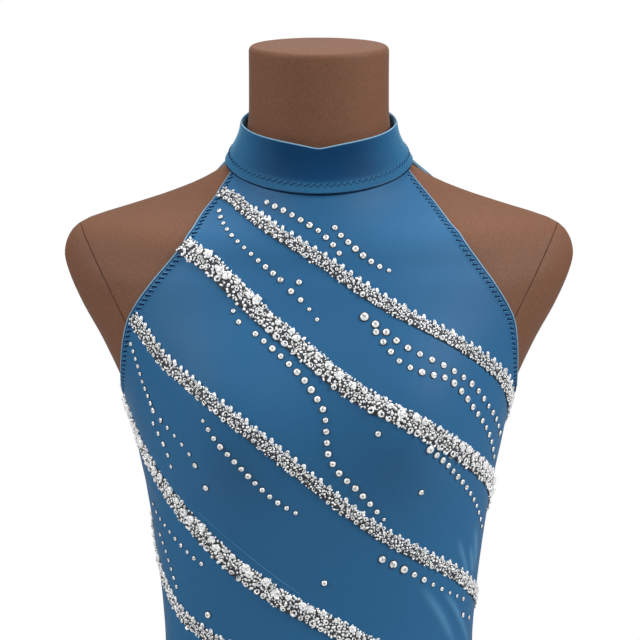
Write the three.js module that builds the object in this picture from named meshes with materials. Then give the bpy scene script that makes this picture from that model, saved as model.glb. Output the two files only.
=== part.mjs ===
// A halter-neck lyrical dance dress worn by a limbless dress form on a round stand.
// Millimetres, +Z up, the front faces -Y, and the origin is the centre of the stand's underside.
import * as THREE from "three";

// Sizes that drive the whole object
const waistLevel = 1030; // the seam of bodice and skirt
const armholeLevel = 1226; // the lowest point of the armholes
const bodiceTopLevel = 1396; // under the collar's lower edge
const skirtLength = 620;
const clothWall = 1.1;
const clothGap = 1.3; // between the form and the cloth's inside
const seamGap = 0.3; // between two cloth edges
const formBottomLevel = 760;
const formTopLevel = 1480;
const poleRadius = 12.5;
const socketDepth = 45;
const baseRadius = 170;
const baseHeight = 8;

// Cross-sections of the dress form. At each level it is halfWidth wide to either side, and front and back deep.
// squareness is 2 for an ellipse. taper thins the section towards its sides, as the shoulders do.
// tilt lowers the front and raises the back, as at the root of the neck. centre moves it backwards.
const formSections = [
  { level: 760, halfWidth: 150.0, front: 88, back: 94, squareness: 2.2, taper: 0, tilt: 0, centre: 0 },
  { level: 800, halfWidth: 160.0, front: 95, back: 106, squareness: 2.2, taper: 0, tilt: 0, centre: 0 },
  { level: 850, halfWidth: 163.0, front: 99, back: 115, squareness: 2.2, taper: 0, tilt: 0, centre: 0 },
  { level: 900, halfWidth: 152.0, front: 98, back: 110, squareness: 2.2, taper: 0, tilt: 0, centre: 0 },
  { level: 960, halfWidth: 129.0, front: 93, back: 94, squareness: 2.2, taper: 0, tilt: 0, centre: 0 },
  { level: 1000, halfWidth: 116.5, front: 88, back: 81, squareness: 2.2, taper: 0, tilt: 0, centre: 0 },
  { level: 1030, halfWidth: 113.4, front: 86, back: 76, squareness: 2.2, taper: 0, tilt: 0, centre: 0 },
  { level: 1060, halfWidth: 114.8, front: 86, back: 76, squareness: 2.2, taper: 0, tilt: 0, centre: 0 },
  { level: 1096, halfWidth: 118.6, front: 89, back: 79, squareness: 2.2, taper: 0, tilt: 0, centre: 0 },
  { level: 1141, halfWidth: 125.2, front: 94, back: 85, squareness: 2.2, taper: 0, tilt: 0, centre: 0 },
  { level: 1178, halfWidth: 132.6, front: 97, back: 90, squareness: 2.2, taper: 0, tilt: 0, centre: 0 },
  { level: 1223, halfWidth: 143.8, front: 97, back: 94, squareness: 2.2, taper: 0, tilt: 0, centre: 0 },
  { level: 1261, halfWidth: 160.5, front: 92, back: 95, squareness: 2.2, taper: 0.05, tilt: 0.04, centre: 0 },
  { level: 1291, halfWidth: 177.0, front: 86, back: 93, squareness: 2.15, taper: 0.12, tilt: 0.09, centre: 0 },
  { level: 1314, halfWidth: 187.1, front: 82, back: 91, squareness: 2.1, taper: 0.2, tilt: 0.13, centre: 0 },
  { level: 1329, halfWidth: 190.1, front: 79, back: 88, squareness: 2, taper: 0.28, tilt: 0.16, centre: 0 },
  { level: 1344, halfWidth: 184.5, front: 77, back: 85, squareness: 2, taper: 0.38, tilt: 0.2, centre: 0 },
  { level: 1352, halfWidth: 173.0, front: 75, back: 83, squareness: 2, taper: 0.44, tilt: 0.22, centre: 0 },
  { level: 1360, halfWidth: 147.0, front: 73, back: 80, squareness: 2, taper: 0.48, tilt: 0.25, centre: 0 },
  { level: 1368, halfWidth: 120.5, front: 71, back: 76, squareness: 2, taper: 0.5, tilt: 0.28, centre: 0 },
  { level: 1377, halfWidth: 94.5, front: 68, back: 72, squareness: 2, taper: 0.42, tilt: 0.31, centre: -1 },
  { level: 1387, halfWidth: 74.0, front: 65, back: 68, squareness: 2, taper: 0.24, tilt: 0.34, centre: -2 },
  { level: 1397, halfWidth: 62.0, front: 61, back: 63, squareness: 2, taper: 0.08, tilt: 0.355, centre: -3 },
  { level: 1410, halfWidth: 55.5, front: 57, back: 58, squareness: 2, taper: 0, tilt: 0.35, centre: -6 },
  { level: 1427, halfWidth: 52.3, front: 54, back: 55, squareness: 2, taper: 0, tilt: 0.35, centre: -10 },
  { level: 1450, halfWidth: 51.7, front: 53, back: 54, squareness: 2, taper: 0, tilt: 0.26, centre: -15 },
  { level: 1480, halfWidth: 51.7, front: 53, back: 54, squareness: 2, taper: 0, tilt: 0.16, centre: -20 },
];

// The bust is one smooth rise to either side of the centre, longer above its level than below.
const bust = { depth: 22, side: 74, width: 50, level: 1206, above: 72, below: 44 };

// How far round from the centre front, in degrees, the bodice reaches at the armhole. left and right are as seen
// from the front, because the cloth sits a little further over on one side. The back mirrors them.
const armholeEdge = [
  { level: 1226, left: 90, right: 90 },
  { level: 1229, left: 81, right: 81 },
  { level: 1237, left: 72.5, right: 72.5 },
  { level: 1251, left: 64, right: 64.8 },
  { level: 1270, left: 56, right: 57.3 },
  { level: 1285, left: 50.3, right: 52 },
  { level: 1297, left: 45.6, right: 47.4 },
  { level: 1310, left: 40.7, right: 42.8 },
  { level: 1323, left: 36.6, right: 39 },
  { level: 1335, left: 33.8, right: 36.6 },
  { level: 1343, left: 32.6, right: 35.5 },
  { level: 1349, left: 32.5, right: 35.4 },
  { level: 1355, left: 34.2, right: 37.2 },
  { level: 1361, left: 38, right: 40.8 },
  { level: 1366, left: 42, right: 45 },
  { level: 1371, left: 46.4, right: 50 },
  { level: 1376, left: 51.4, right: 56 },
  { level: 1381, left: 57.6, right: 62 },
  { level: 1386, left: 64.1, right: 68.4 },
  { level: 1391, left: 69.7, right: 73.9 },
  { level: 1396, left: 74.6, right: 78.6 },
];

// The opening in the centre back that lets the head through, closed above by the collar's buttons
const keyhole = { bottom: 1318, top: 1386, halfWidth: 20, bulge: 0.7 };

// The collar, from its sewn lower edge to its folded upper edge. inner and outer are its distances from the form.
const collarRows = [
  { level: 1392.6, inner: 3.3, outer: 5.7 },
  { level: 1398, inner: 4.7, outer: 7.0 },
  { level: 1406, inner: 4.5, outer: 6.5 },
  { level: 1415, inner: 3.8, outer: 5.8 },
  { level: 1424, inner: 3.6, outer: 5.6 },
];
// The upper edge is higher in front and lower behind than the root of the neck, with a shallow point in front.
const collarEdge = { rise: 3.6, turn: 0.7, dip: 3.7, spread: 14 };
const button = { radius: 4.4, height: 2.6, angle: 184.8 };
const buttonSeats = [{ level: 1400, lift: -0.05 }, { level: 1411.5, lift: 0.95 }];

// The skirt, by how far below the waist. fold is the height of its flutes.
const skirtSections = [
  { drop: 0, halfWidth: 116.1, front: 88.7, back: 78.7, squareness: 2.2, fold: 0 },
  { drop: 30, halfWidth: 122, front: 94, back: 87, squareness: 2.2, fold: 1 },
  { drop: 70, halfWidth: 137, front: 103, back: 102, squareness: 2.2, fold: 3 },
  { drop: 120, halfWidth: 159, front: 115, back: 121, squareness: 2.15, fold: 5.5 },
  { drop: 180, halfWidth: 179, front: 130, back: 137, squareness: 2.1, fold: 9 },
  { drop: 270, halfWidth: 206, front: 152, back: 158, squareness: 2, fold: 14 },
  { drop: 380, halfWidth: 234, front: 177, back: 182, squareness: 2, fold: 20 },
  { drop: 500, halfWidth: 261, front: 202, back: 206, squareness: 2, fold: 26 },
  { drop: 620, halfWidth: 286, front: 226, back: 230, squareness: 2, fold: 31 },
];
const flutes = { count: 10, shift: 0.9, drift: 0.16, second: 0.09, uneven: 0.22 };

// Crystal bands by their centre lines: how far round from the centre front, in degrees, and at which level.
// They wind round the body, so that each back band goes on from a front one.
const narrow = 9.5;
const wide = 14;
const bands = [
  { name: "front_band_1", width: narrow, line: [[-56, 1381], [-40, 1378.5], [-26, 1372], [-16, 1365], [-9, 1357], [-0.8, 1342], [9.3, 1314], [21.4, 1290], [34.6, 1270], [46.8, 1253.5], [63, 1234], [75, 1219], [89.8, 1206]] },
  { name: "front_band_2", width: wide, line: [[-32.5, 1346], [-25.2, 1335], [-18.6, 1314.5], [-10.3, 1283.5], [-0.9, 1257], [6.3, 1240], [14.9, 1226], [25, 1214], [36, 1200.5], [52.2, 1180.5], [63.2, 1169], [77, 1155], [89.8, 1141]] },
  { name: "front_band_3", width: narrow, line: [[-48, 1288], [-46, 1272], [-42.6, 1255], [-35, 1236], [-25.3, 1214.5], [-7.3, 1178], [3.1, 1158.5], [11, 1144.5], [22.2, 1127.5], [34.8, 1112.5], [51, 1097], [68, 1080.5], [89.8, 1064]] },
  { name: "front_band_4", width: wide, line: [[-89.8, 1220], [-80, 1206], [-72, 1192], [-61.4, 1168.5], [-50.3, 1145.5], [-39.2, 1123.5], [-27.4, 1102], [-13.8, 1082.5], [0, 1067], [12, 1053.5], [22, 1042]] },
  { name: "front_band_5", width: narrow, line: [[-89.8, 1124], [-81, 1104], [-71.2, 1086], [-63.4, 1073], [-55.4, 1062], [-43, 1050.5], [-30, 1040]] },
  { name: "back_band_1", width: narrow, line: [[90.2, 1206], [120, 1188], [150, 1172], [180, 1160], [210, 1149], [240, 1138], [269.8, 1124]] },
  { name: "back_band_2", width: wide, line: [[90.2, 1141], [120, 1118], [150, 1100], [180, 1085], [210, 1071], [232, 1058], [250, 1042]] },
  { name: "back_band_3", width: narrow, line: [[90.2, 1064], [104, 1052], [118, 1040]] },
  { name: "back_band_4", width: wide, line: [[139, 1303], [160, 1289], [180, 1277], [200, 1265], [220, 1253], [240, 1240], [255, 1229], [269.8, 1220]] },
];
const bandLift = 0.9; // between the cloth and a band's underside
const bandHeight = 2.2;

// How finely the surfaces are divided
const formColumns = 36;
const frontColumns = 18;
const backColumns = 9;
const collarColumns = 36;
const skirtColumns = 40;
const bandStep = 13;

// A smooth curve through the rows of a table, read from one of its columns at a value of the key column.
function along(rows, key, column, at) {
  let i = 0;
  while (i < rows.length - 2 && at >= rows[i + 1][key]) i += 1;
  const slope = (k) => {
    const below = rows[Math.max(k - 1, 0)];
    const above = rows[Math.min(k + 1, rows.length - 1)];
    return (above[column] - below[column]) / (above[key] - below[key]);
  };
  const span = rows[i + 1][key] - rows[i][key];
  const s = (at - rows[i][key]) / span;
  const start = (2 * s ** 3 - 3 * s ** 2 + 1) * rows[i][column];
  const end = (3 * s ** 2 - 2 * s ** 3) * rows[i + 1][column];
  const leave = (s ** 3 - 2 * s ** 2 + s) * span * slope(i);
  const arrive = (s ** 3 - s ** 2) * span * slope(i + 1);
  return start + end + leave + arrive;
}

const rad = THREE.MathUtils.degToRad;
const spread = (from, to, count) => Array.from({ length: count + 1 }, (_, i) => from + ((to - from) * i) / count);
const roundness = (turn, squareness) =>
  (Math.abs(Math.sin(turn)) ** squareness + Math.abs(Math.cos(turn)) ** squareness) ** (-1 / squareness);

// A point of the dress form's skin, by its angle round from the centre front, in degrees, and its level.
function formPoint(angle, level) {
  const at = (column) => along(formSections, "level", column, level);
  const sin = Math.sin(rad(angle));
  const cos = Math.cos(rad(angle));
  const reach = roundness(rad(angle), at("squareness"));
  const depth = cos > 0 ? at("front") : at("back");
  const x = at("halfWidth") * reach * sin;
  const back = -depth * reach * cos * (1 - at("taper") * sin * sin);
  const z = level + at("tilt") * back;
  const height = (z - bust.level) / (z > bust.level ? bust.above : bust.below);
  const sides = Math.exp(-(((x - bust.side) / bust.width) ** 2)) + Math.exp(-(((x + bust.side) / bust.width) ** 2));
  const facing = Math.max(cos, 0) ** 2 * (3 - 2 * Math.max(cos, 0));
  const rise = bust.depth * sides * Math.exp(-(height ** 2)) * facing;
  return new THREE.Vector3(x, at("centre") + back - rise, z);
}

// The skin moved out along its normal
function onForm(angle, level, distance) {
  const round = formPoint(angle + 0.05, level).sub(formPoint(angle - 0.05, level));
  const up = formPoint(angle, level + 0.5).sub(formPoint(angle, level - 0.5));
  return formPoint(angle, level).addScaledVector(round.cross(up).normalize(), distance);
}

// A closed mesh from a list of faces with three or four corners, each given as points.
// Four corners are split along their shorter diagonal.
function solid(name, faces, material) {
  const corners = [];
  for (const [a, b, c, d] of faces) {
    if (!d) corners.push(a, b, c);
    else if (a.distanceTo(c) <= b.distanceTo(d)) corners.push(a, b, c, a, c, d);
    else corners.push(a, b, d, b, c, d);
  }
  const geometry = new THREE.BufferGeometry().setFromPoints(corners);
  geometry.computeVertexNormals();
  const mesh = new THREE.Mesh(geometry, material);
  mesh.name = name;
  return mesh;
}

// A wall between an outer and an inner grid of points. Rows go up, and columns go round from left to right.
function wall(name, outer, inner, material) {
  const faces = [];
  const last = outer.length - 1;
  const end = outer[0].length - 1;
  for (let r = 0; r < last; r += 1) {
    for (let c = 0; c < end; c += 1) {
      faces.push([outer[r][c], outer[r][c + 1], outer[r + 1][c + 1], outer[r + 1][c]]);
      faces.push([inner[r][c], inner[r + 1][c], inner[r + 1][c + 1], inner[r][c + 1]]);
    }
    faces.push([inner[r][0], outer[r][0], outer[r + 1][0], inner[r + 1][0]]);
    faces.push([outer[r][end], inner[r][end], inner[r + 1][end], outer[r + 1][end]]);
  }
  for (let c = 0; c < end; c += 1) {
    faces.push([inner[0][c], inner[0][c + 1], outer[0][c + 1], outer[0][c]]);
    faces.push([outer[last][c], outer[last][c + 1], inner[last][c + 1], inner[last][c]]);
  }
  return solid(name, faces, material);
}

// Rings of points joined into a skin, with a fan over the first and the last ring
function rings(name, list, material) {
  const faces = [];
  const count = list[0].length;
  for (let c = 0; c < count; c += 1) {
    const next = (c + 1) % count;
    for (let r = 0; r < list.length - 1; r += 1)
      faces.push([list[r][c], list[r][next], list[r + 1][next], list[r + 1][c]]);
  }
  const middle = (ring) => ring.reduce((sum, p) => sum.add(p), new THREE.Vector3()).divideScalar(count);
  const first = list[0];
  const final = list[list.length - 1];
  for (let c = 0; c < count; c += 1) {
    faces.push([middle(first), first[(c + 1) % count], first[c]]);
    faces.push([middle(final), final[c], final[(c + 1) % count]]);
  }
  return solid(name, faces, material);
}

// Materials
const cloth = new THREE.MeshStandardMaterial({ color: 0x3a6c9a, roughness: 0.55 });
const formSkin = new THREE.MeshStandardMaterial({ color: 0x8a6250, roughness: 0.6 });
const crystal = new THREE.MeshStandardMaterial({ color: 0xd9dadc, roughness: 0.15, metalness: 0.6 });
const steel = new THREE.MeshStandardMaterial({ color: 0xb8babd, roughness: 0.3, metalness: 1 });

const dress = new THREE.Group();

// Levels where the form and the bodice both have a row, so that their faces lie alike
const bodiceBottom = waistLevel + seamGap / 2;
const bodiceLevels = [
  bodiceBottom, 1060, 1088, 1116, 1142, 1166, 1184, 1196, 1206, 1216, armholeLevel, 1229.5, 1235, 1244,
  1257, 1272, 1288, 1303, keyhole.bottom, 1330, 1340, 1348, 1355, 1361, 1366, 1371, 1376, 1381, keyhole.top,
  bodiceTopLevel,
];

// The dress form: a socket for the pole, a flat underside, the body, and the flat top of the neck
const formLevels = [782, 808, 836, 865, 900, 940, 975, 1005, ...bodiceLevels, 1403, 1416, 1434, 1455];
const formRounding = { bottom: 6, top: 4, steps: [0, 0.5, 1] };

function formRing(level, inset) {
  return spread(0, 360, formColumns)
    .slice(0, -1)
    .map((angle) => (inset ? onForm(angle, level, 0).lerp(formCentre(level), inset / 60) : formPoint(angle, level)));
}
function formCentre(level) {
  return new THREE.Vector3(0, along(formSections, "level", "centre", level), level);
}
function socketRing(level) {
  return spread(0, 360, formColumns)
    .slice(0, -1)
    .map((angle) => new THREE.Vector3(Math.sin(rad(angle)), -Math.cos(rad(angle)), 0)
      .multiplyScalar(poleRadius + 0.5).setZ(level));
}
const roundedRings = (edge, radius, towards) => formRounding.steps.map((s) => {
  const turn = (1 - s) * Math.PI / 2;
  return formRing(edge - towards * radius * (1 - Math.cos(turn)) * 1, radius * (1 - Math.sin(turn)));
});
dress.add(rings("form_torso", [
  socketRing(formBottomLevel + socketDepth),
  socketRing(formBottomLevel),
  ...roundedRings(formBottomLevel, formRounding.bottom, -1).reverse(),
  ...formLevels.map((level) => formRing(level, 0)),
  ...roundedRings(formTopLevel, formRounding.top, 1),
], formSkin));

// The stand: a round base plate with a sleeve, and the pole up into the form's socket
const baseProfile = [[0, 0], [baseRadius - 2, 0], [baseRadius, 2], [baseRadius, baseHeight - 3],
  [baseRadius - 3, baseHeight], [0, baseHeight]];
function turned(name, profile, segments, material) {
  const outline = profile.map(([r, z]) => new THREE.Vector2(r, z));
  const geometry = new THREE.LatheGeometry(outline, segments).rotateX(Math.PI / 2);
  const mesh = new THREE.Mesh(geometry, material);
  mesh.name = name;
  return mesh;
}
dress.add(turned("stand_base", baseProfile, 40, steel));
const sleeveBottom = baseHeight + seamGap;
const sleeveHeight = 46;
dress.add(turned("stand_sleeve", [
  [poleRadius + 0.5, sleeveBottom], [30, sleeveBottom], [30, sleeveBottom + 4], [19, sleeveBottom + 10],
  [19, sleeveBottom + sleeveHeight], [poleRadius + 0.5, sleeveBottom + sleeveHeight], [poleRadius + 0.5, sleeveBottom],
], 32, steel));
dress.add(turned("stand_pole", [
  [0, sleeveBottom], [poleRadius, sleeveBottom], [poleRadius, formBottomLevel + socketDepth - seamGap],
  [0, formBottomLevel + socketDepth - seamGap],
], 24, steel));

// The bodice. A panel runs between two edges, given as angles, at each of its levels.
const clothInside = clothGap;
const clothOutside = clothGap + clothWall;
const seamAngle = 0.12; // half of a seam's gap, as seen from the middle of the body
function panel(name, columns, from, to) {
  const grid = (distance) => bodiceLevels.map((level) =>
    spread(from(level), to(level), columns).map((angle) => onForm(angle, level, distance)));
  dress.add(wall(name, grid(clothOutside), grid(clothInside), cloth));
}
const armhole = (side) => (level) =>
  level <= armholeLevel ? 90 - seamAngle : Math.min(along(armholeEdge, "level", side, level), 90 - seamAngle);
const leftEdge = armhole("left");
const rightEdge = armhole("right");

panel("bodice_front", frontColumns, (level) => -leftEdge(level), rightEdge);

// Half the keyhole's width, as an angle from the centre back, and the seam's gap above and below it
function backEdge(level) {
  const share = (level - keyhole.bottom) / (keyhole.top - keyhole.bottom);
  if (share <= 0 || share >= 1) return seamAngle;
  const halfWidth = keyhole.halfWidth * Math.sin(Math.PI * share ** keyhole.bulge);
  const reach = Math.asin(halfWidth / along(formSections, "level", "halfWidth", level));
  return Math.max(THREE.MathUtils.radToDeg(reach), seamAngle);
}
panel("bodice_back_left", backColumns, (level) => 180 - rightEdge(level), (level) => 180 - backEdge(level));
panel("bodice_back_right", backColumns, (level) => 180 + backEdge(level), (level) => 180 + leftEdge(level));

// The collar is one band round the neck, with its ends at the centre back.
const collarEnd = 0.25; // half of the gap between its ends, in degrees
const collarTop = collarRows[collarRows.length - 1].level;
function collarPoint(angle, row, distance) {
  const share = (row.level - collarRows[0].level) / (collarTop - collarRows[0].level);
  const cos = Math.cos(rad(angle));
  const rise = collarEdge.rise * Math.sign(cos) * Math.abs(cos) ** collarEdge.turn;
  const dip = collarEdge.dip * share * Math.exp(-Math.min(angle, 360 - angle) / collarEdge.spread);
  return onForm(angle, row.level + share * (rise - dip), distance);
}
function collarGrid(side) {
  return collarRows.map((row) => spread(-180 + collarEnd, 180 - collarEnd, collarColumns)
    .map((angle) => collarPoint(Math.abs(angle), row, row[side]).multiply(new THREE.Vector3(Math.sign(angle) || 1, 1, 1))));
}
dress.add(wall("collar", collarGrid("outer"), collarGrid("inner"), cloth));

// Two flat buttons beside the collar's end, on its outside
buttonSeats.forEach(({ level, lift }, i) => {
  const stand = along(collarRows, "level", "outer", level) + lift;
  const foot = collarPoint(button.angle, { level }, stand);
  const out = collarPoint(button.angle, { level }, stand + 1).sub(foot).normalize();
  const { radius, height } = button;
  const mesh = turned(`button_${i + 1}`, [[0, 0], [radius - 0.6, 0], [radius, 0.8], [radius, height - 0.8],
    [radius - 0.8, height], [0, height]], 16, crystal);
  mesh.quaternion.setFromUnitVectors(new THREE.Vector3(0, 0, 1), out);
  mesh.position.copy(foot);
  dress.add(mesh);
});

// The skirt hangs from the waist in flutes, in a front and a back panel sewn at the sides.
function skirtPoint(angle, drop) {
  const at = (column) => along(skirtSections, "drop", column, drop);
  const turn = rad(angle);
  const phase = flutes.count * (turn + flutes.drift * Math.sin(2 * turn + 1) + flutes.second * Math.sin(3 * turn)) + flutes.shift;
  const fold = at("fold") * Math.cos(phase) * (1 - flutes.uneven * (1 + Math.sin(2 * turn + 0.5)) / 2);
  const reach = roundness(turn, at("squareness"));
  const x = at("halfWidth") * reach * Math.sin(turn);
  const y = -(Math.cos(turn) > 0 ? at("front") : at("back")) * reach * Math.cos(turn);
  const out = 1 + fold / Math.hypot(x, y);
  return new THREE.Vector3(x * out, y * out, waistLevel - seamGap / 2 - drop);
}
function skirtWall(angle, drop, distance) {
  const round = skirtPoint(angle + 0.05, drop).sub(skirtPoint(angle - 0.05, drop));
  const up = skirtPoint(angle, drop - 0.5).sub(skirtPoint(angle, drop + 0.5));
  const out = round.cross(up).setZ(0).normalize();
  return skirtPoint(angle, drop).addScaledVector(out, distance);
}
const skirtDrops = [skirtLength, 500, 385, 280, 190, 120, 70, 30, 0];
for (const [name, middle] of [["skirt_front", 0], ["skirt_back", 180]]) {
  const grid = (distance) => skirtDrops.map((drop) =>
    spread(middle - 90 + seamAngle, middle + 90 - seamAngle, skirtColumns).map((angle) => skirtWall(angle, drop, distance)));
  dress.add(wall(name, grid(0), grid(-clothWall), cloth));
}

// The crystal bands lie on the cloth along their lines, flat below and bevelled above.
function bandAcross(angle, level, sideways) {
  const round = onForm(angle + 0.1, level, clothOutside).sub(onForm(angle - 0.1, level, clothOutside)).divideScalar(0.2);
  const up = onForm(angle, level + 0.5, clothOutside).sub(onForm(angle, level - 0.5, clothOutside));
  const roundRound = round.dot(round);
  const upUp = up.dot(up);
  const roundUp = round.dot(up);
  const both = roundRound * upUp - roundUp ** 2;
  const a = sideways.dot(round);
  const b = sideways.dot(up);
  return [angle + (a * upUp - b * roundUp) / both, level + (b * roundRound - a * roundUp) / both];
}
function bandRings({ width, line }) {
  const path = new THREE.CatmullRomCurve3(line.map(([angle, level]) => new THREE.Vector3(angle, level, 0)));
  const place = (s) => path.getPoint(s);
  const centre = (s) => onForm(place(s).x, place(s).y, clothOutside);
  const length = spread(0, 1, 60).slice(1).reduce((sum, s) => sum + centre(s).distanceTo(centre(s - 1 / 60)), 0);
  const steps = Math.round(length / bandStep);
  return spread(0, 1, steps).map((s) => {
    const { x: angle, y: level } = place(s);
    const ahead = centre(Math.min(s + 0.002, 1)).sub(centre(Math.max(s - 0.002, 0))).normalize();
    const out = onForm(angle, level, clothOutside + 1).sub(onForm(angle, level, clothOutside)).normalize();
    const sideways = ahead.clone().cross(out).normalize();
    if (Math.abs(Math.abs(Math.abs(angle) - 180) - 90) < 0.5) {
      const seam = onForm(angle, level - 0.5, clothOutside).sub(onForm(angle, level + 0.5, clothOutside)).normalize();
      sideways.copy(seam.divideScalar(seam.dot(sideways)));
    }
    const point = (share, lift) => {
      const [a, b] = bandAcross(angle, level, sideways.clone().multiplyScalar(share * width / 2));
      return onForm(a, b, clothOutside + bandLift + lift);
    };
    return [point(-1, 0), point(-0.6, bandHeight), point(0.6, bandHeight), point(1, 0), point(0, 0)];
  });
}
for (const band of bands) dress.add(rings(band.name, bandRings(band), crystal));

export default dress;
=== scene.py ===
import math
import bmesh
import bpy
import numpy as np
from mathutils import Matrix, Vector


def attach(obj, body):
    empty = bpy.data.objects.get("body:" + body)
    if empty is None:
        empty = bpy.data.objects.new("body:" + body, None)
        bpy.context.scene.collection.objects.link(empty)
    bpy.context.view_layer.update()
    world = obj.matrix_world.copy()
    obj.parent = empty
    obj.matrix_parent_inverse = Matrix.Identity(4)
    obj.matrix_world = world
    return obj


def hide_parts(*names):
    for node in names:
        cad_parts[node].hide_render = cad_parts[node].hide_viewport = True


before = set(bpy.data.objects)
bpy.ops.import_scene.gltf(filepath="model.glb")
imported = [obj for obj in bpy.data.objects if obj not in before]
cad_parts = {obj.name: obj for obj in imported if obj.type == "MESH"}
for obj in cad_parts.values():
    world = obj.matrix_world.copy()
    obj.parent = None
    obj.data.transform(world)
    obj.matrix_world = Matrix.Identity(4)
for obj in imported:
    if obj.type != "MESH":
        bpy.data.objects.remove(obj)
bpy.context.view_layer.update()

mm = 0.001

view = dict(  # metres, degrees, and a lens in millimetres on a 36 mm sensor
    distance=1.8, elevation=4.0, target=(0.0008, 0.0, 1.276), lens=135.0, sensor=36.0,
)
studio = dict(  # colours and strengths of the light around, and of what the camera sees
    around=((0.90, 0.95, 1.0), 0.14), backdrop=((1.0, 1.0, 1.0), 1.0),
    floor=dict(radius=4.2, drop=0.0004, sides=96, colour=(0.82, 0.82, 0.81), roughness=0.7),
)
lights = dict(
    left=dict(spot=(-2.15, -1.0, 2.65), aim=(0.0, 0.0, 1.2), size=1.3, watts=42.0),
    right=dict(spot=(2.15, -1.0, 2.65), aim=(0.0, 0.0, 1.2), size=1.3, watts=60.0),
    front=dict(spot=(0.0, -2.6, 1.9), aim=(0.0, 0.0, 1.15), size=1.2, watts=5.0),
    top=dict(spot=(0.0, 0.3, 3.0), aim=(0.0, 0.0, 1.3), size=1.0, watts=20.0),
)


def link(name, data):
    piece = bpy.data.objects.new(name, data)
    bpy.context.scene.collection.objects.link(piece)
    return piece


def aimAt(item, spot, target):
    item.location = spot
    item.rotation_euler = (Vector(target) - Vector(spot)).to_track_quat("-Z", "Y").to_euler()


def addCamera():
    camera = link("camera", bpy.data.cameras.new("camera"))
    up = math.radians(view["elevation"])
    away = Vector((0, -math.cos(up), math.sin(up))) * view["distance"]
    aimAt(camera, Vector(view["target"]) + away, view["target"])
    camera.data.lens = view["lens"]
    camera.data.sensor_width = view["sensor"]
    bpy.context.scene.camera = camera


def addLight(name, spot, aim, size, watts):
    light = link(name, bpy.data.lights.new(name, "AREA"))
    aimAt(light, spot, aim)
    light.data.size = size
    light.data.energy = watts


def addWorld():
    world = bpy.data.worlds.new("studio")
    bpy.context.scene.world = world
    world.use_nodes = True
    nodes, links = world.node_tree.nodes, world.node_tree.links
    nodes.clear()
    out, mix, path = (nodes.new("ShaderNode" + kind) for kind in ("OutputWorld", "MixShader", "LightPath"))
    for socket, (colour, strength) in ((1, studio["around"]), (2, studio["backdrop"])):
        background = nodes.new("ShaderNodeBackground")
        background.inputs["Color"].default_value = (*colour, 1)
        background.inputs["Strength"].default_value = strength
        links.new(background.outputs[0], mix.inputs[socket])
    links.new(path.outputs["Is Camera Ray"], mix.inputs["Fac"])
    links.new(mix.outputs[0], out.inputs["Surface"])


# Materials. A value that is the same all over is set on the shader's own socket.
def shaderOf(material):
    return material.node_tree.nodes["Principled BSDF"]


def newMaterial(name, colour, roughness, **sockets):
    material = bpy.data.materials.new(name)
    material.use_nodes = True
    shader = shaderOf(material)
    shader.inputs["Base Color"].default_value = (*colour, 1)
    shader.inputs["Roughness"].default_value = roughness
    for socket, value in sockets.items():
        shader.inputs[socket.replace("_", " ")].default_value = value
    return material


def addNode(material, kind, **values):
    node = material.node_tree.nodes.new("ShaderNode" + kind)
    for key, value in values.items():
        if key in node.inputs:
            node.inputs[key].default_value = value
        else:
            setattr(node, key, value)
    return node


def wire(material, source, output, target, socket):
    material.node_tree.links.new(source.outputs[output], target.inputs[socket])


def blendColours(material, source, output, dark, light):
    mix = addNode(material, "Mix", data_type="RGBA")
    mix.inputs[6].default_value = (*dark, 1)
    mix.inputs[7].default_value = (*light, 1)
    wire(material, source, output, mix, 0)
    return mix


def addTexture(material, kind, space="Object", stretch=None, **values):
    # A procedural texture on Object coordinates or on the piece's own UV map
    texture = addNode(material, "Tex" + kind, **values)
    source, output = addNode(material, "TexCoord"), space
    if stretch:
        mapping = addNode(material, "Mapping", Scale=stretch)
        wire(material, source, output, mapping, "Vector")
        source, output = mapping, 0
    wire(material, source, output, texture, "Vector")
    return texture


def addMottle(material, dark, light, kind="Noise", output="Fac", **values):
    texture = addTexture(material, kind, **values)
    return texture, blendColours(material, texture, output, dark, light)


def scaled(colour, by):
    return tuple(min(c * by, 1.0) for c in colour)


def multiplyColours(material, first, second):
    both = addNode(material, "Mix", data_type="RGBA", blend_type="MULTIPLY")
    both.inputs[0].default_value = 1.0
    wire(material, first, 2, both, 6)
    wire(material, second, 2, both, 7)
    wire(material, both, 2, shaderOf(material), "Base Color")


def addBump(material, source, output, strength, depth):
    bump = addNode(material, "Bump", Strength=strength, Distance=depth)
    wire(material, source, output, bump, "Height")
    wire(material, bump, 0, shaderOf(material), "Normal")


knits = dict(
    # the dress is paler along some creases: a painted highlight in the colour, standing in for the sheen on
    # the folds, kept in the mesh as an attribute
    dressKnit=dict(
        colour=(0.0195, 0.132, 0.292), sheen=0.22, sheenTint=(1.0, 1.0, 1.0), nap=0.35, gloss=0.30,
        attribute="stretch", pale=(0.125, 0.34, 0.57),
    ),
    # the doubled band of the collar carries painted shade: darker round the hollow of the throat, and lighter
    # at its lower edge and towards the sides, as painted light
    collarKnit=dict(
        colour=(0.026, 0.135, 0.276), sheen=0.9, sheenTint=(0.40, 0.78, 1.0), nap=0.28, gloss=0.12,
        attribute="tone", deep=(0.002, 0.047, 0.134),
    ),
    # lighter cloth for the bound edges and the collar's fold line: a painted highlight
    highlightKnit=dict(colour=(0.23, 0.44, 0.62), sheen=0.5, sheenTint=(1.0, 1.0, 1.0), nap=0.35, gloss=0.30),
)
jersey = dict(
    roughness=0.6, clouds=dict(Scale=7.0, Detail=3.0, Roughness=0.5), cloudShades=(0.93, 1.07),
    yarn=dict(Scale=1500.0, Detail=1.0), yarnShades=((0.90, 0.90, 0.91), (1.10, 1.10, 1.09)),
    stitches=(("X", 0.0045), ("Y", 0.0055)),  # directions and widths in metres
    wave=dict(kind="Wave", space="UV", Distortion=1.5, Detail=1.0), stitchBump=(0.12, 0.0002),
)


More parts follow.
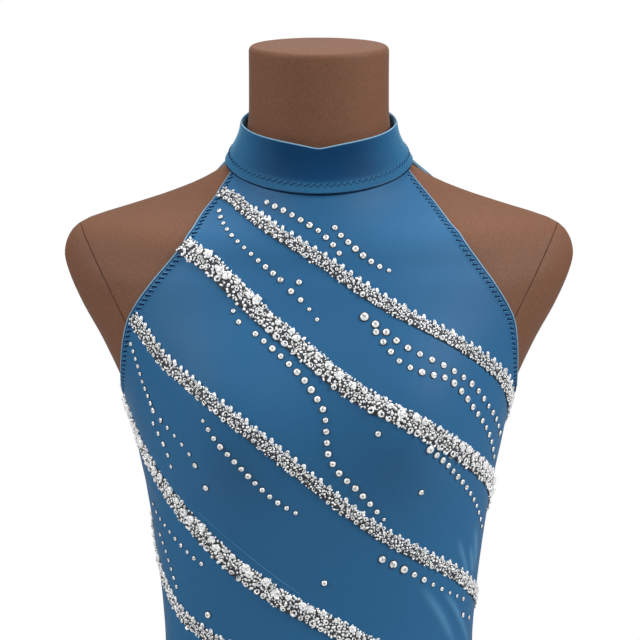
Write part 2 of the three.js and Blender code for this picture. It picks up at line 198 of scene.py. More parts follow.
def makeKnit(name):
    # Fine jersey: ribs of stitches along the piece's own UV map, in metres, and a soft mottle
    look = knits[name]
    colour = look["colour"]
    knit = newMaterial(
        name, colour, jersey["roughness"], Specular_IOR_Level=look["gloss"],
        Sheen_Weight=look["sheen"], Sheen_Roughness=look["nap"], Sheen_Tint=(*look["sheenTint"], 1))
    if "attribute" in look:
        attribute = addNode(knit, "Attribute", attribute_name=look["attribute"])
        ground = blendColours(knit, attribute, "Fac", look.get("deep", colour), look.get("pale", colour))
    if "deep" not in look:
        dark, light = (scaled(colour, by) for by in jersey["cloudShades"])
        _, clouds = addMottle(knit, dark, light, **jersey["clouds"])
        if "pale" in look:
            wire(knit, clouds, 2, ground, 6)
        else:
            ground = clouds
    _, heather = addMottle(knit, *jersey["yarnShades"], **jersey["yarn"])
    multiplyColours(knit, ground, heather)
    cross = addNode(knit, "Math", operation="MULTIPLY")
    for socket, (direction, width) in enumerate(jersey["stitches"]):
        waves = addTexture(knit, bands_direction=direction, Scale=1 / width, **jersey["wave"])
        wire(knit, waves, "Fac", cross, socket)
    addBump(knit, cross, 0, *jersey["stitchBump"])
    return knit


finish = dict(
    skin=dict(colour=(0.196, 0.089, 0.050), clouds=dict(Scale=6.0, Detail=4.0), cloudShades=(0.94, 1.06),
              specks=dict(Scale=620.0, Detail=2.0), speckShades=((0.72, 0.72, 0.73), (1.28, 1.27, 1.26)),
              grain=(0.25, 0.0003),
              coat=dict(Specular_IOR_Level=0.2, Sheen_Weight=0.12, Sheen_Roughness=0.3)),
    # crystal: shade is the colour of the dull facets, painted sparkle; the last value is the strength of a
    # painted glow
    crystal=dict(colour=(0.93, 0.93, 0.92), shade=(0.15, 0.155, 0.16), paintedGlow=0.25),
    net=(0.030, 0.035, 0.042), steel=(0.60, 0.61, 0.63),
    # the pale thread is a painted highlight, beside the stitches and along a fold; the cap seam colour is
    # painted shade in the groove of the shoulder seams
    thread=(0.002, 0.020, 0.068), paleThread=(0.08, 0.26, 0.46), capSeamShade=(0.052, 0.022, 0.013),
)


def makeSkin():
    # Matte flocked plastic of the form: faint clouding, fine specks and a fine grain
    look = finish["skin"]
    plastic = newMaterial("formSkin", look["colour"], 0.6, **look["coat"])
    dark, light = (scaled(look["colour"], by) for by in look["cloudShades"])
    _, clouds = addMottle(plastic, dark, light, **look["clouds"])
    specks, speckled = addMottle(plastic, *look["speckShades"], **look["specks"])
    multiplyColours(plastic, clouds, speckled)
    addBump(plastic, specks, "Fac", *look["grain"])
    return plastic


def makeCrystal():
    # Silver-backed stones: each facet has its own tone, kept in the mesh; bright and dull facets are painted
    # sparkle in place of reflections
    look = finish["crystal"]
    stone = newMaterial("crystal", look["colour"], 0.12, Metallic=0.25, Specular_IOR_Level=0.9)
    tone = addNode(stone, "Attribute", attribute_name="tone")
    colour = blendColours(stone, tone, "Fac", look["shade"], look["colour"])
    # the second makes the stones glow: a painted glow in place of the light that the foil behind a stone
    # throws back
    for socket in ("Base Color", "Emission Color"):
        wire(stone, colour, 2, shaderOf(stone), socket)
    shaderOf(stone).inputs["Emission Strength"].default_value = look["paintedGlow"]
    return stone


def makeSpeckled(name, colour, roughness, shades, pattern, **sockets):
    material = newMaterial(name, colour, roughness, **sockets)
    _, speckled = addMottle(material, scaled(colour, shades[0]), scaled(colour, shades[1]), **pattern)
    wire(material, speckled, 2, shaderOf(material), "Base Color")
    return material


def makeNet():
    holes = dict(kind="Voronoi", output="Distance", Scale=900.0)
    return makeSpeckled("bandNet", finish["net"], 0.7, (0.6, 2.0), holes)


def makeThread(name):
    twist = dict(Scale=1800.0, Detail=1.0)
    return makeSpeckled(name, finish[name], 0.75, (0.7, 1.5), twist, Specular_IOR_Level=0.15)


def makeSteel():
    # brushed lengthwise
    brush = dict(Scale=700.0, Detail=3.0, stretch=(1.0, 1.0, 0.02))
    return makeSpeckled("satinSteel", finish["steel"], 0.42, (0.85, 1.1), brush, Metallic=0.8)


addCamera()
addWorld()
for lightName in lights:
    addLight(lightName, **lights[lightName])
cloth, collarCloth, highlightCloth = makeKnit("dressKnit"), makeKnit("collarKnit"), makeKnit("highlightKnit")
skin, crystal, net, steel = makeSkin(), makeCrystal(), makeNet(), makeSteel()
thread, paleThread, capSeamShade = makeThread("thread"), makeThread("paleThread"), makeThread("capSeamShade")
print("camera, studio and materials are made")


# Tables of sections, read along a smooth curve, and lists of rows with named columns
def table(columns, rows):
    return dict(zip(columns.split(), np.array(rows, float).T))


def listed(columns, rows):
    return [dict(zip(columns.split(), row)) for row in rows]


def along(rows, key, column, at):
    xs, ys = rows[key], rows[column]
    at = np.asarray(at, float)
    i = np.clip(np.searchsorted(xs, at, side="right") - 1, 0, len(xs) - 2)
    order = np.arange(len(xs))
    lower, upper = np.maximum(order - 1, 0), np.minimum(order + 1, len(xs) - 1)
    slope = (ys[upper] - ys[lower]) / (xs[upper] - xs[lower])
    span = xs[i + 1] - xs[i]
    s = (at - xs[i]) / span
    start, end = (2 * s**3 - 3 * s**2 + 1) * ys[i], (3 * s**2 - 2 * s**3) * ys[i + 1]
    return start + end + (s**3 - 2 * s**2 + s) * span * slope[i] + (s**3 - s**2) * span * slope[i + 1]


def readTable(rows, key, at):
    return {column: along(rows, key, column, at) for column in rows}


# The dress form's cross-sections, in millimetres, as on the model
form = dict(
    bottom=760.0, top=1480.0, rounding=dict(bottom=6.0, top=4.0, steps=7, reach=60.0),
    socket=dict(radius=13.0, depth=45.0), columns=168, rows=190, spread=(1.1, 0.72),
    capSeamShade=dict(point=(177.0, 0.0, 1347.0), across=(65.0, 0.0, -34.0), lowest=1238.0, beyond=100.0,
                 depth=0.6, width=0.65),
    sections=table("level halfWidth front back squareness taper tilt centre", [
        (760, 150, 88, 94, 2.2, 0, 0, 0),
        (800, 160, 95, 106, 2.2, 0, 0, 0),
        (850, 163, 99, 115, 2.2, 0, 0, 0),
        (900, 152, 98, 110, 2.2, 0, 0, 0),
        (960, 129, 93, 94, 2.2, 0, 0, 0),
        (1000, 116.5, 88, 81, 2.2, 0, 0, 0),
        (1030, 113.4, 86, 76, 2.2, 0, 0, 0),
        (1060, 114.8, 86, 76, 2.2, 0, 0, 0),
        (1096, 118.6, 89, 79, 2.2, 0, 0, 0),
        (1141, 125.2, 94, 85, 2.2, 0, 0, 0),
        (1178, 132.6, 97, 90, 2.2, 0, 0, 0),
        (1223, 143.8, 97, 94, 2.2, 0, 0, 0),
        (1261, 160.5, 92, 95, 2.2, 0.05, 0.04, 0),
        (1291, 177, 86, 93, 2.15, 0.12, 0.09, 0),
        (1314, 187.1, 82, 91, 2.1, 0.2, 0.13, 0),
        (1329, 190.1, 79, 88, 2, 0.28, 0.16, 0),
        (1344, 184.5, 77, 85, 2, 0.38, 0.2, 0),
        (1352, 173, 75, 83, 2, 0.44, 0.22, 0),
        (1360, 147, 73, 80, 2, 0.48, 0.25, 0),
        (1368, 120.5, 71, 76, 2, 0.5, 0.28, 0),
        (1377, 94.5, 68, 72, 2, 0.42, 0.31, -1),
        (1387, 74, 65, 68, 2, 0.24, 0.34, -2),
        (1397, 62, 61, 63, 2, 0.08, 0.355, -3),
        (1410, 55.5, 57, 58, 2, 0, 0.35, -6),
        (1427, 52.3, 54, 55, 2, 0, 0.35, -10),
        (1450, 51.7, 53, 54, 2, 0, 0.26, -15),
        (1480, 51.7, 53, 54, 2, 0, 0.16, -20),
    ]),
    bust=dict(depth=22.0, side=74.0, width=50.0, level=1206.0, above=72.0, below=44.0),
)


def roundness(turn, squareness):
    return (np.abs(np.sin(turn)) ** squareness + np.abs(np.cos(turn)) ** squareness) ** (-1 / squareness)


def formPoint(angle, level):
    angle, level = np.broadcast_arrays(np.asarray(angle, float), np.asarray(level, float))
    turn = np.radians(angle)
    sin, cos = np.sin(turn), np.cos(turn)
    read = readTable(form["sections"], "level", level)
    reach = roundness(turn, read["squareness"])
    x = read["halfWidth"] * reach * sin
    back = -np.where(cos > 0, read["front"], read["back"]) * reach * cos * (1 - read["taper"] * sin**2)
    z = level + read["tilt"] * back
    bust = form["bust"]
    height = (z - bust["level"]) / np.where(z > bust["level"], bust["above"], bust["below"])
    sides = sum(np.exp(-(((x - side) / bust["width"]) ** 2)) for side in (bust["side"], -bust["side"]))
    facing = np.maximum(cos, 0)
    rise = bust["depth"] * sides * np.exp(-(height**2)) * facing**2 * (3 - 2 * facing)
    return np.stack([x, read["centre"] + back - rise, z], -1)


def unit(v):
    return v / np.maximum(np.linalg.norm(v, axis=-1, keepdims=True), 1e-12)


def formNormal(angle, level):
    roundStep = formPoint(angle + 0.05, level) - formPoint(angle - 0.05, level)
    upStep = formPoint(angle, level + 0.5) - formPoint(angle, level - 0.5)
    return unit(np.cross(roundStep, upStep))


def onForm(angle, level, distance=0.0):
    angle, level = np.asarray(angle, float), np.asarray(level, float)
    return formPoint(angle, level) + formNormal(angle, level) * np.asarray(distance, float)[..., None]


def steps(angle, level, distance=0.0):
    # How far a point moves for one degree round and for one millimetre of level
    roundStep = (onForm(angle + 0.1, level, distance) - onForm(angle - 0.1, level, distance)) / 0.2
    upStep = onForm(angle, level + 0.25, distance) - onForm(angle, level - 0.25, distance)
    return roundStep, upStep * 2


def aside(angle, level, sideways, distance):
    # The angle and level of a point that lies sideways, a vector in millimetres, from another
    roundStep, upStep = steps(angle, level, distance)
    rr, uu, ru = (roundStep**2).sum(-1), (upStep**2).sum(-1), (roundStep * upStep).sum(-1)
    a, b = (sideways * roundStep).sum(-1), (sideways * upStep).sum(-1)
    both = rr * uu - ru**2
    return angle + (a * uu - b * ru) / both, level + (b * rr - a * ru) / both


# Paths on the cloth
def lengthAlong(points):
    return np.concatenate([[0], np.cumsum(np.linalg.norm(np.diff(points, axis=0), axis=1))])


def readAlong(at, length, values):
    return np.stack([np.interp(at, length, column) for column in values.T], -1)


def curvePath(line, count):
    # A path through a few angles and levels, evenly spaced along its length on the cloth
    p = np.array(line, float)
    p = np.concatenate([[2 * p[0] - p[1]], p, [2 * p[-1] - p[-2]]])
    s = np.linspace(0, 1, 24, endpoint=False)[:, None]
    pieces = []
    for a, b, c, d in zip(p[:-3], p[1:-2], p[2:-1], p[3:]):
        t0, t1, t2 = (max(np.linalg.norm(q - r), 1e-4) ** 0.5 for q, r in ((b, a), (c, b), (d, c)))
        leave = ((b - a) / t0 - (c - a) / (t0 + t1) + (c - b) / t1) * t1
        arrive = ((c - b) / t1 - (d - b) / (t1 + t2) + (d - c) / t2) * t1
        second, third = 3 * (c - b) - 2 * leave - arrive, 2 * (b - c) + leave + arrive
        pieces.append(b + leave * s + second * s**2 + third * s**3)
    fine = np.concatenate(pieces + [p[-2:-1]])
    length = lengthAlong(onForm(*fine.T, dress["outside"]))
    angle, level = readAlong(np.linspace(0, length[-1], count), length, fine).T
    return angle, level, length[-1]


def pathFrame(angle, level, distance):
    points = onForm(angle, level, distance)
    ahead = unit(np.gradient(points, axis=0))
    normals = formNormal(angle, level)
    return points, ahead, unit(np.cross(ahead, normals))


def distanceTo(points, line):
    best = np.full(len(points), 1e9)
    nearest = np.zeros(len(points))
    for i, (a, b) in enumerate(zip(line[:-1], line[1:])):
        span = b - a
        share = np.clip(((points - a) @ span) / max(span @ span, 1e-9), 0, 1)
        gap = np.linalg.norm(points - (a + share[:, None] * span), axis=1)
        closer = gap < best
        best[closer] = gap[closer]
        nearest[closer] = (i + share[closer]) / (len(line) - 1)
    return best, nearest


def smooth(x, low, high):
    x = np.clip((x - low) / (high - low), 0, 1)
    return x * x * (3 - 2 * x)


# Mesh helpers: a grid is made by the operator, and its points are then laid on the surface
def gridMesh(bm, columns, rows, lay):
    uv = bm.loops.layers.uv.verify()
    bmesh.ops.create_grid(bm, x_segments=columns, y_segments=rows, size=0.5)
    flat = np.array([v.co[:2] for v in bm.verts]) + 0.5
    points, spread = lay(flat[:, 0], flat[:, 1])
    spread = np.array(spread)
    for vertex, point in zip(bm.verts, points * mm):
        vertex.co = point
    for face in bm.faces:
        face.smooth = True
        for loop in face.loops:
            loop[uv].uv = flat[loop.vert.index] * spread


def closeMesh(bm, near):
    # The seam and the ends of a rolled grid
    bmesh.ops.remove_doubles(bm, verts=bm.verts, dist=near)
    bmesh.ops.holes_fill(bm, edges=[e for e in bm.edges if e.is_boundary], sides=0)
    bmesh.ops.recalc_face_normals(bm, faces=bm.faces)


def spun(profile, segments, near):
    # A profile of radius and height, spun round the middle
    bm = bmesh.new()
    outline = [bm.verts.new((radius, 0, height)) for radius, height in profile]
    lines = [bm.edges.new(pair) for pair in zip(outline[:-1], outline[1:])]
    bmesh.ops.spin(bm, geom=outline + lines, cent=(0, 0, 0), axis=(0, 0, 1), angle=2 * math.pi,
                   steps=segments, use_merge=True)
    bmesh.ops.remove_doubles(bm, verts=bm.verts, dist=near)
    bmesh.ops.recalc_face_normals(bm, faces=bm.faces)
    return bm


def tube(bm, path, radius, sides=8):
    # A round cord of cloth or thread along a path, closed at both ends, joined to what the mesh holds
    path = np.asarray(path, float)
    ahead = unit(np.gradient(path, axis=0))
    first = unit(np.cross(ahead, (0.3, 0.2, 1.0)))
    second = np.cross(ahead, first)

    def lay(s, t):
        row = np.rint(s * (len(path) - 1)).astype(int)
        turn = 2 * np.pi * t
        ring = first[row] * np.cos(turn)[:, None] + second[row] * np.sin(turn)[:, None]
        return path[row] + ring * radius, (len(path) * mm, 2 * math.pi * radius * mm)

    part = bmesh.new()
    gridMesh(part, len(path) - 1, sides, lay)
    closeMesh(part, 1e-6)
    mesh = bpy.data.meshes.new("part")
    part.to_mesh(mesh)
    part.free()
    bm.from_mesh(mesh)
    bpy.data.meshes.remove(mesh)


def finishMesh(name, bm, *materials):
    mesh = bpy.data.meshes.new(name)
    bm.to_mesh(mesh)
    bm.free()
    for material in materials:
        mesh.materials.append(material)
    return link(name, mesh)


def place(piece, slot, *nodes):
    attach(piece, "root")
    if nodes:
        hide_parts(*nodes)
    return piece


def thicken(piece, wall):
    solidify = piece.modifiers.new("wall", "SOLIDIFY")
    solidify.thickness = wall * mm
    solidify.offset = -1
    return piece


# The body of the dress: a front and two half backs, stretched over the form
dress = dict(
    inside=1.3, wall=1.1, outside=2.4, seamAngle=0.12, armhole=1226.0, top=1396.0,
    hemFade=(6.4, 7.6), hemHeight=0.25, curl=dict(height=12.0, steps=30),
    # the edge's dark line beside the roll is a thread-coloured tube, a painted shadow
    rollRadius=0.6, rollMiddle=2.35, edgeShadowLine=dict(shift=1.0, radius=0.32, sink=0.12),
    edge=table("level left right", [
        (1226, 90, 90), (1229, 81, 81), (1237, 72.5, 72.5), (1251, 64, 64.8), (1270, 56, 57.3),
        (1285, 50.3, 52),
        (1297, 45.6, 47.4), (1310, 40.7, 42.8), (1323, 36.6, 39), (1335, 33.8, 36.6), (1343, 32.6, 35.5),
        (1349, 32.5, 35.4), (1355, 34.2, 37.2), (1361, 38, 40.8), (1366, 42, 45), (1371, 46.4, 50),
        (1376, 51.4, 56), (1381, 57.6, 62), (1386, 64.1, 68.4), (1391, 69.7, 73.9), (1396, 74.6, 78.6),
    ]),
    keyhole=dict(bottom=1318.0, top=1386.0, halfWidth=20.0, bulge=0.7, sewn=(1318.05, 1385.95)),
    rowLevels=((0.0, 1030.15), (0.50, 1226.0), (0.64, 1245.0), (1.0, 1396.0)),
)
bodice = dict(
    columns=180, backColumns=90, rows=150, backFlat=(0.18, 0.38), backArea=0.056,
    foldHighlight=dict(radius=0.21, sink=0.10, sides=6, steps=60,
                  line=[(-41.5, 1142.8), (-34.9, 1131.5), (-26.4, 1116.8), (-17, 1101), (-6.9, 1085.4)]),
    # pale: how much painted highlight lies along a crease
    frontCreases=listed("height width pale line", [
        (-0.4, 4.5, 0, [(-40, 1139), (-28, 1115), (-10, 1085)]),
        (0.9, 1.7, 0.7, [(52.7, 1119.9), (55.8, 1110.2), (59.0, 1101.3), (63.2, 1090)]),
        (0.9, 1.7, 0.8, [(61.7, 1112.8), (64.8, 1102.3), (68.4, 1089)]),
        (0.7, 3.2, 0.55, [(64, 1127.0), (67.7, 1111.3), (70.6, 1092)]),
        (1.2, 1.7, 1.0, [(48.5, 1081), (53.3, 1072.2), (57.7, 1063.3), (63.2, 1052.8), (72, 1036)]),
        (1.0, 2.7, 0.6, [(37.5, 1086.5), (42.6, 1075.1), (47.5, 1063.4), (51.8, 1052.7), (57.5, 1039)]),
        (-0.9, 2.6, 0, [(45.5, 1079), (51, 1068), (56, 1056), (62, 1042)]),
        (-0.6, 5.0, 0, [(-60, 1066), (-48, 1058), (-36, 1045)]),
        (-0.5, 5.5, 0, [(-86, 1160), (-74, 1150), (-62, 1136)]),
        (-0.5, 5.5, 0, [(86, 1196), (76, 1203), (66, 1214)]),
        (-0.45, 5.0, 0, [(-87, 1205), (-76, 1214), (-66, 1226)]),
    ]),
    backCreases=listed("height width pale line", [
        (-0.8, 5.0, 0, [(150, 1062), (164, 1054), (176, 1050)]),
        (-0.7, 5.5, 0, [(210, 1068), (198, 1058), (184, 1052)]),
        (-0.6, 6.0, 0, [(148, 1092), (163, 1083), (175, 1080)]),
        (-0.6, 6.0, 0, [(216, 1098), (202, 1090), (187, 1084)]),
        (-0.6, 6.0, 0, [(100, 1140), (112, 1126), (126, 1118)]),
        (-0.55, 5.5, 0, [(260, 1112), (247, 1100), (236, 1094)]),
        (-0.5, 6.0, 0, [(110, 1196), (122, 1206), (134, 1222)]),
        (-0.5, 6.0, 0, [(250, 1192), (238, 1203), (228, 1220)]),
    ]),
)


def armhole(side):
    def edge(level):
        angle = np.where(level <= dress["armhole"], 90, along(dress["edge"], "level", side, level))
        return np.minimum(angle, 90 - dress["seamAngle"])
    return edge


def backEdge(level):
    keyhole = dress["keyhole"]
    share = np.clip((level - keyhole["bottom"]) / (keyhole["top"] - keyhole["bottom"]), 0, 1)
    halfWidth = keyhole["halfWidth"] * np.sin(np.pi * share ** keyhole["bulge"])
    reach = np.degrees(np.arcsin(halfWidth / along(form["sections"], "level", "halfWidth", level)))
    return np.maximum(reach, dress["seamAngle"])


def mirrored(angleOf):
    return lambda level: -angleOf(level)


def behind(angleOf, side):
    return lambda level: 180 + side * angleOf(level)


def edgeLine(angleOf, low, high, count=90):
    # Closer steps at the bottom, where an edge curves most
    bend = low + dress["curl"]["height"]
    close = np.linspace(low, bend, dress["curl"]["steps"])[:-1]
    levels = np.concatenate([close, np.linspace(bend, high, count)])
    return angleOf(levels), levels


def hemRise(points, hems):
    rise = np.zeros(len(points))
    for angleOf, span, _ in hems:
        gap, _ = distanceTo(points, onForm(*edgeLine(angleOf, *span), dress["outside"]))
        rise = np.maximum(rise, 1 - smooth(gap, *dress["hemFade"]))
    return rise * dress["hemHeight"]


def creaseHeight(points, creases, amount="height"):
    # Each crease is a soft ridge or trough along a line of angles and levels, fading at its ends
    height = np.zeros(len(points))
    for crease in creases:
        line = onForm(*np.array(crease["line"], float).T, dress["outside"])
        gap, share = distanceTo(points, line)
        fade = np.sin(np.pi * np.clip(share, 0.02, 0.98)) ** 0.7
        height += crease[amount] * np.exp(-((gap / crease["width"]) ** 2)) * fade
    return height


def makePanel(name, columns, left, right, hems, creases, flat):
    def lay(s, t):
        level = np.interp(t, *zip(*dress["rowLevels"]))
        angle = left(level) + (right(level) - left(level)) * s
        points = onForm(angle, level, dress["outside"])
        rise = hemRise(points, [sewnEdges[hem] for hem in hems]) + creaseHeight(points, creases)
        return points + formNormal(angle, level) * rise[:, None], flat

    bm = bmesh.new()
    gridMesh(bm, columns, bodice["rows"], lay)
    points = np.array([v.co for v in bm.verts]) / mm
    piece = thicken(finishMesh(name, bm, cloth), dress["wall"])
    # paler along the creases: a painted highlight, kept as a mesh attribute
    pale = creaseHeight(points, [crease for crease in creases if crease["pale"]], "pale")
    piece.data.attributes.new("stretch", "FLOAT", "POINT").data.foreach_set("value", pale.astype(np.float32))
    place(piece, "bodice_cloth", name)


leftEdge, rightEdge = armhole("left"), armhole("right")
armholeSpan = (dress["armhole"], dress["top"])
keyholeSpan = dress["keyhole"]["sewn"]
# each sewn edge, the levels that it spans, and the side on which its cloth lies
sewnEdges = dict(
    frontRight=(rightEdge, armholeSpan, -1), frontLeft=(mirrored(leftEdge), armholeSpan, 1),
    backLeft=(behind(rightEdge, -1), armholeSpan, 1), backRight=(behind(leftEdge, 1), armholeSpan, -1),
    keyholeLeft=(behind(backEdge, -1), keyholeSpan, -1), keyholeRight=(behind(backEdge, 1), keyholeSpan, 1),
)
makePanel("bodice_front", bodice["columns"], mirrored(leftEdge), rightEdge, ["frontRight", "frontLeft"],
          bodice["frontCreases"], (0.36, 0.37))
makePanel("bodice_back_left", bodice["backColumns"], behind(rightEdge, -1), behind(backEdge, -1),
          ["backLeft", "keyholeLeft"], bodice["backCreases"], bodice["backFlat"])
makePanel("bodice_back_right", bodice["backColumns"], behind(backEdge, 1), behind(leftEdge, 1),
          ["backRight", "keyholeRight"], bodice["backCreases"], bodice["backFlat"])
print("bodice panels are made")


def makeEdgeRolls():
    # The armholes and the keyhole are bound with a narrow roll in lighter cloth, a painted highlight, and a
    # dark line in thread colour runs beside it as a painted shadow
    rolls, shadowLines = bmesh.new(), bmesh.new()
    look = dress["edgeShadowLine"]
    for angleOf, span, inward in sewnEdges.values():
        angle, level = edgeLine(angleOf, *span)
        for middle in (dress["rollMiddle"], dress["inside"]):
            tube(rolls, onForm(angle, level, middle), dress["rollRadius"])
        _, _, sideways = pathFrame(angle, level, dress["outside"])
        angle, level = aside(angle, level, sideways * inward * look["shift"], dress["outside"])
        sunk = dress["outside"] + dress["hemHeight"] - look["sink"]
        # the dark line beside the roll is painted shadow
        tube(shadowLines, onForm(angle, level, sunk), look["radius"], 6)
    place(finishMesh("edge_rolls", rolls, highlightCloth), "bodice_cloth")
    place(finishMesh("edge_shadow_lines", shadowLines, thread), "bodice_cloth")


def makeFoldHighlight():
    # One fine pressed line of the front cloth, drawn as a thin pale thread: a painted highlight
    look = bodice["foldHighlight"]
    angle, level, _ = curvePath(look["line"], look["steps"])
    bm = bmesh.new()
    tube(bm, onForm(angle, level, dress["outside"] - look["sink"]), look["radius"], look["sides"])
    place(finishMesh("front_fold_highlight", bm, paleThread), "bodice_cloth")


# The collar is a folded band, open at the centre back
collar = dict(
    columns=240, endAngle=0.25, rise=3.6, turn=0.7, dip=3.7, dipSpread=14.0, dipRound=4.5,
    fold=1.0, wallSteps=14, foldSteps=7, sharp=55.0,
    rows=table("level inner outer", [
        (1392.6, 3.3, 5.7), (1398, 4.7, 7.0), (1406, 4.5, 6.5), (1415, 3.8, 5.8), (1424, 3.6, 5.6),
    ]),
    hollow=dict(depth=2.2, spread=34.0),
    creases=((18, 1.2, 0.16), (31, 2.4, 0.12), (7, 0.4, 0.2)),  # waves round, their phase and height
    flat=(0.40, 0.036), area=0.0142,
    # seam: a dark thread tube, painted shadow under the collar's edge; fold: a tube of lighter cloth, painted
    # highlight
    lines=dict(reach=179.2, steps=260, seamLevel=1392.2, seamDistance=3.1, seamRadius=0.6,
               foldSink=0.20, foldDistance=4.95, foldRadius=0.55),
    # painted shade on the collar: its tone at the centre front and at the sides, the angles over which it
    # fades between them, and the shares of height over which it sets in above the lower edge
    tone=dict(deep=0.0, side=0.95, spread=(22, 76), rise=(0.10, 0.34)),
)


def collarShare(level):
    low, high = collar["rows"]["level"][[0, -1]]
    return (level - low) / (high - low)


def collarProfile():
    low, high = collar["rows"]["level"][[0, -1]]
    up = np.linspace(low, high - collar["fold"], collar["wallSteps"])
    outer = along(collar["rows"], "level", "outer", up)
    inner = along(collar["rows"], "level", "inner", up)
    turn = np.linspace(0, np.pi, collar["foldSteps"])[1:-1]
    middle, half = (outer[-1] + inner[-1]) / 2, (outer[-1] - inner[-1]) / 2
    levels = np.concatenate([up, up[-1] + collar["fold"] * np.sin(turn), up[::-1], up[:1]])
    away = np.concatenate([outer, middle + half * np.cos(turn), inner[::-1], outer[:1]])
    return levels, away


def collarLevel(angle, level):
    # The upper edge rises in front and falls behind, with a shallow point at the centre front
    cos = np.cos(np.radians(angle))
    rise = collar["rise"] * np.sign(cos) * np.abs(cos) ** collar["turn"]
    soft = np.hypot(angle, collar["dipRound"]) - collar["dipRound"]
    return level + collarShare(level) * (rise - collar["dip"] * np.exp(-soft / collar["dipSpread"]))


def collarShift(angle, level):
    # Small waves, and the hollow below the point at the centre front
    share = np.clip(collarShare(level), 0, 1)
    turn = np.radians(angle) / 2
    ripple = sum(h * np.sin(turn * n + phase + 2 * share) for n, phase, h in collar["creases"])
    hollow = collar["hollow"]["depth"] * np.exp(-((angle / collar["hollow"]["spread"]) ** 2))
    return (ripple - hollow) * np.sin(np.pi * share) ** 1.2


def paintCollarShade(mesh, levels):
    # Painted shade and light in the collar's colour: darker round the centre front, where the throat's hollow
    # lies in shade, lighter towards the sides and at the lower edge, where the cloth catches more light
    spread = np.zeros(len(mesh.loops) * 2)
    mesh.uv_layers[0].data.foreach_get("uv", spread)
    s, t = (spread.reshape(-1, 2) / collar["flat"]).T
    share = collarShare(levels[np.rint(np.clip(t, 0, 1) * (len(levels) - 1)).astype(int)])
    look = collar["tone"]
    throat = look["deep"] + (look["side"] - look["deep"]) * smooth(np.abs(360 * s - 180), *look["spread"])
    tone = 1 + (throat - 1) * smooth(share, *look["rise"])
    mesh.attributes.new("tone", "FLOAT", "CORNER").data.foreach_set("value", tone)


def makeCollar():
    levels, away = collarProfile()

    def lay(s, t):
        row = np.rint(t * (len(levels) - 1)).astype(int)
        reach = 180 - collar["endAngle"]
        angle = -reach + 2 * reach * s
        distance = away[row] + collarShift(angle, levels[row])
        return onForm(angle, collarLevel(angle, levels[row]), distance), collar["flat"]

    bm = bmesh.new()
    gridMesh(bm, collar["columns"], len(levels) - 1, lay)
    closeMesh(bm, 1e-6)
    piece = place(finishMesh("collar", bm, collarCloth), "collar_cloth", "collar")
    piece.data.set_sharp_from_angle(angle=math.radians(collar["sharp"]))
    paintCollarShade(piece.data, levels)


def makeCollarLines():
    # The dark line where the collar is sewn to the bodice, a painted shadow under the collar's edge, and the
    # bright line of its fold, a painted highlight in lighter cloth
    look = collar["lines"]
    angle = np.linspace(-look["reach"], look["reach"], look["steps"])
    seamLevel = np.full(len(angle), look["seamLevel"])
    foldLevel = collarLevel(angle, np.full(len(angle), collar["rows"]["level"][-1] - look["foldSink"]))
    for kind, level, material in (("seam", seamLevel, thread), ("fold", foldLevel, highlightCloth)):
        bm = bmesh.new()
        tube(bm, onForm(angle, level, look[kind + "Distance"]), look[kind + "Radius"])
        place(finishMesh("collar_" + kind, bm, material), "collar_cloth")


makeCollar()
makeCollarLines()
print("collar is made")

# The skirt's sections, by how far below the waist, and its flutes
skirt = dict(
    length=620.0, columns=220, rows=95, wall=1.1, top=1029.85, flat=(0.95, 0.66), area=0.42,
    spread=(1.0, 0.66),
    hem=dict(height=11.0, fade=1.0, rise=0.3), closeRows=((0, 0.06, 1), (0, 0.02, 1)),
    sections=table("drop halfWidth front back squareness fold", [
        (0, 116.1, 88.7, 78.7, 2.2, 0),
        (30, 122, 94, 87, 2.2, 1),
        (70, 137, 103, 102, 2.2, 3),
        (120, 159, 115, 121, 2.15, 5.5),
        (180, 179, 130, 137, 2.1, 9),
        (270, 206, 152, 158, 2, 14),
        (380, 234, 177, 182, 2, 20),
        (500, 261, 202, 206, 2, 26),
        (620, 286, 226, 230, 2, 31),
    ]),
    flutes=dict(count=10, shift=0.9, drift=0.16, second=0.09, uneven=0.22),
    ripples=((23, 0.7, 1.0, 0.9), (37, 2.1, 0.6, 1.7), (17, 4.0, 1.2, 0.5)),  # waves, phase, height, slant
    rippleFade=(0.08, 0.5), swell=dict(least=0.6, more=0.4, waves=5, slant=4),
)


def skirtPoint(angle, drop):
    read = readTable(skirt["sections"], "drop", drop)
    flutes = skirt["flutes"]
    turn = np.radians(angle)
    drift = flutes["drift"] * np.sin(2 * turn + 1) + flutes["second"] * np.sin(3 * turn)
    phase = flutes["shift"] + flutes["count"] * (turn + drift)
    fold = read["fold"] * np.cos(phase) * (1 - flutes["uneven"] * (1 + np.sin(2 * turn + 0.5)) / 2)
    reach = roundness(turn, read["squareness"])
    x = read["halfWidth"] * reach * np.sin(turn)
    y = -np.where(np.cos(turn) > 0, read["front"], read["back"]) * reach * np.cos(turn)
    out = 1 + fold / np.hypot(x, y)
    return np.stack([x * out, y * out, skirt["top"] - drop], -1)


def skirtNormal(angle, drop):
    roundStep = skirtPoint(angle + 0.05, drop) - skirtPoint(angle - 0.05, drop)
    upStep = skirtPoint(angle, drop - 0.5) - skirtPoint(angle, drop + 0.5)
    out = np.cross(roundStep, upStep)
    out[..., 2] = 0
    return unit(out)


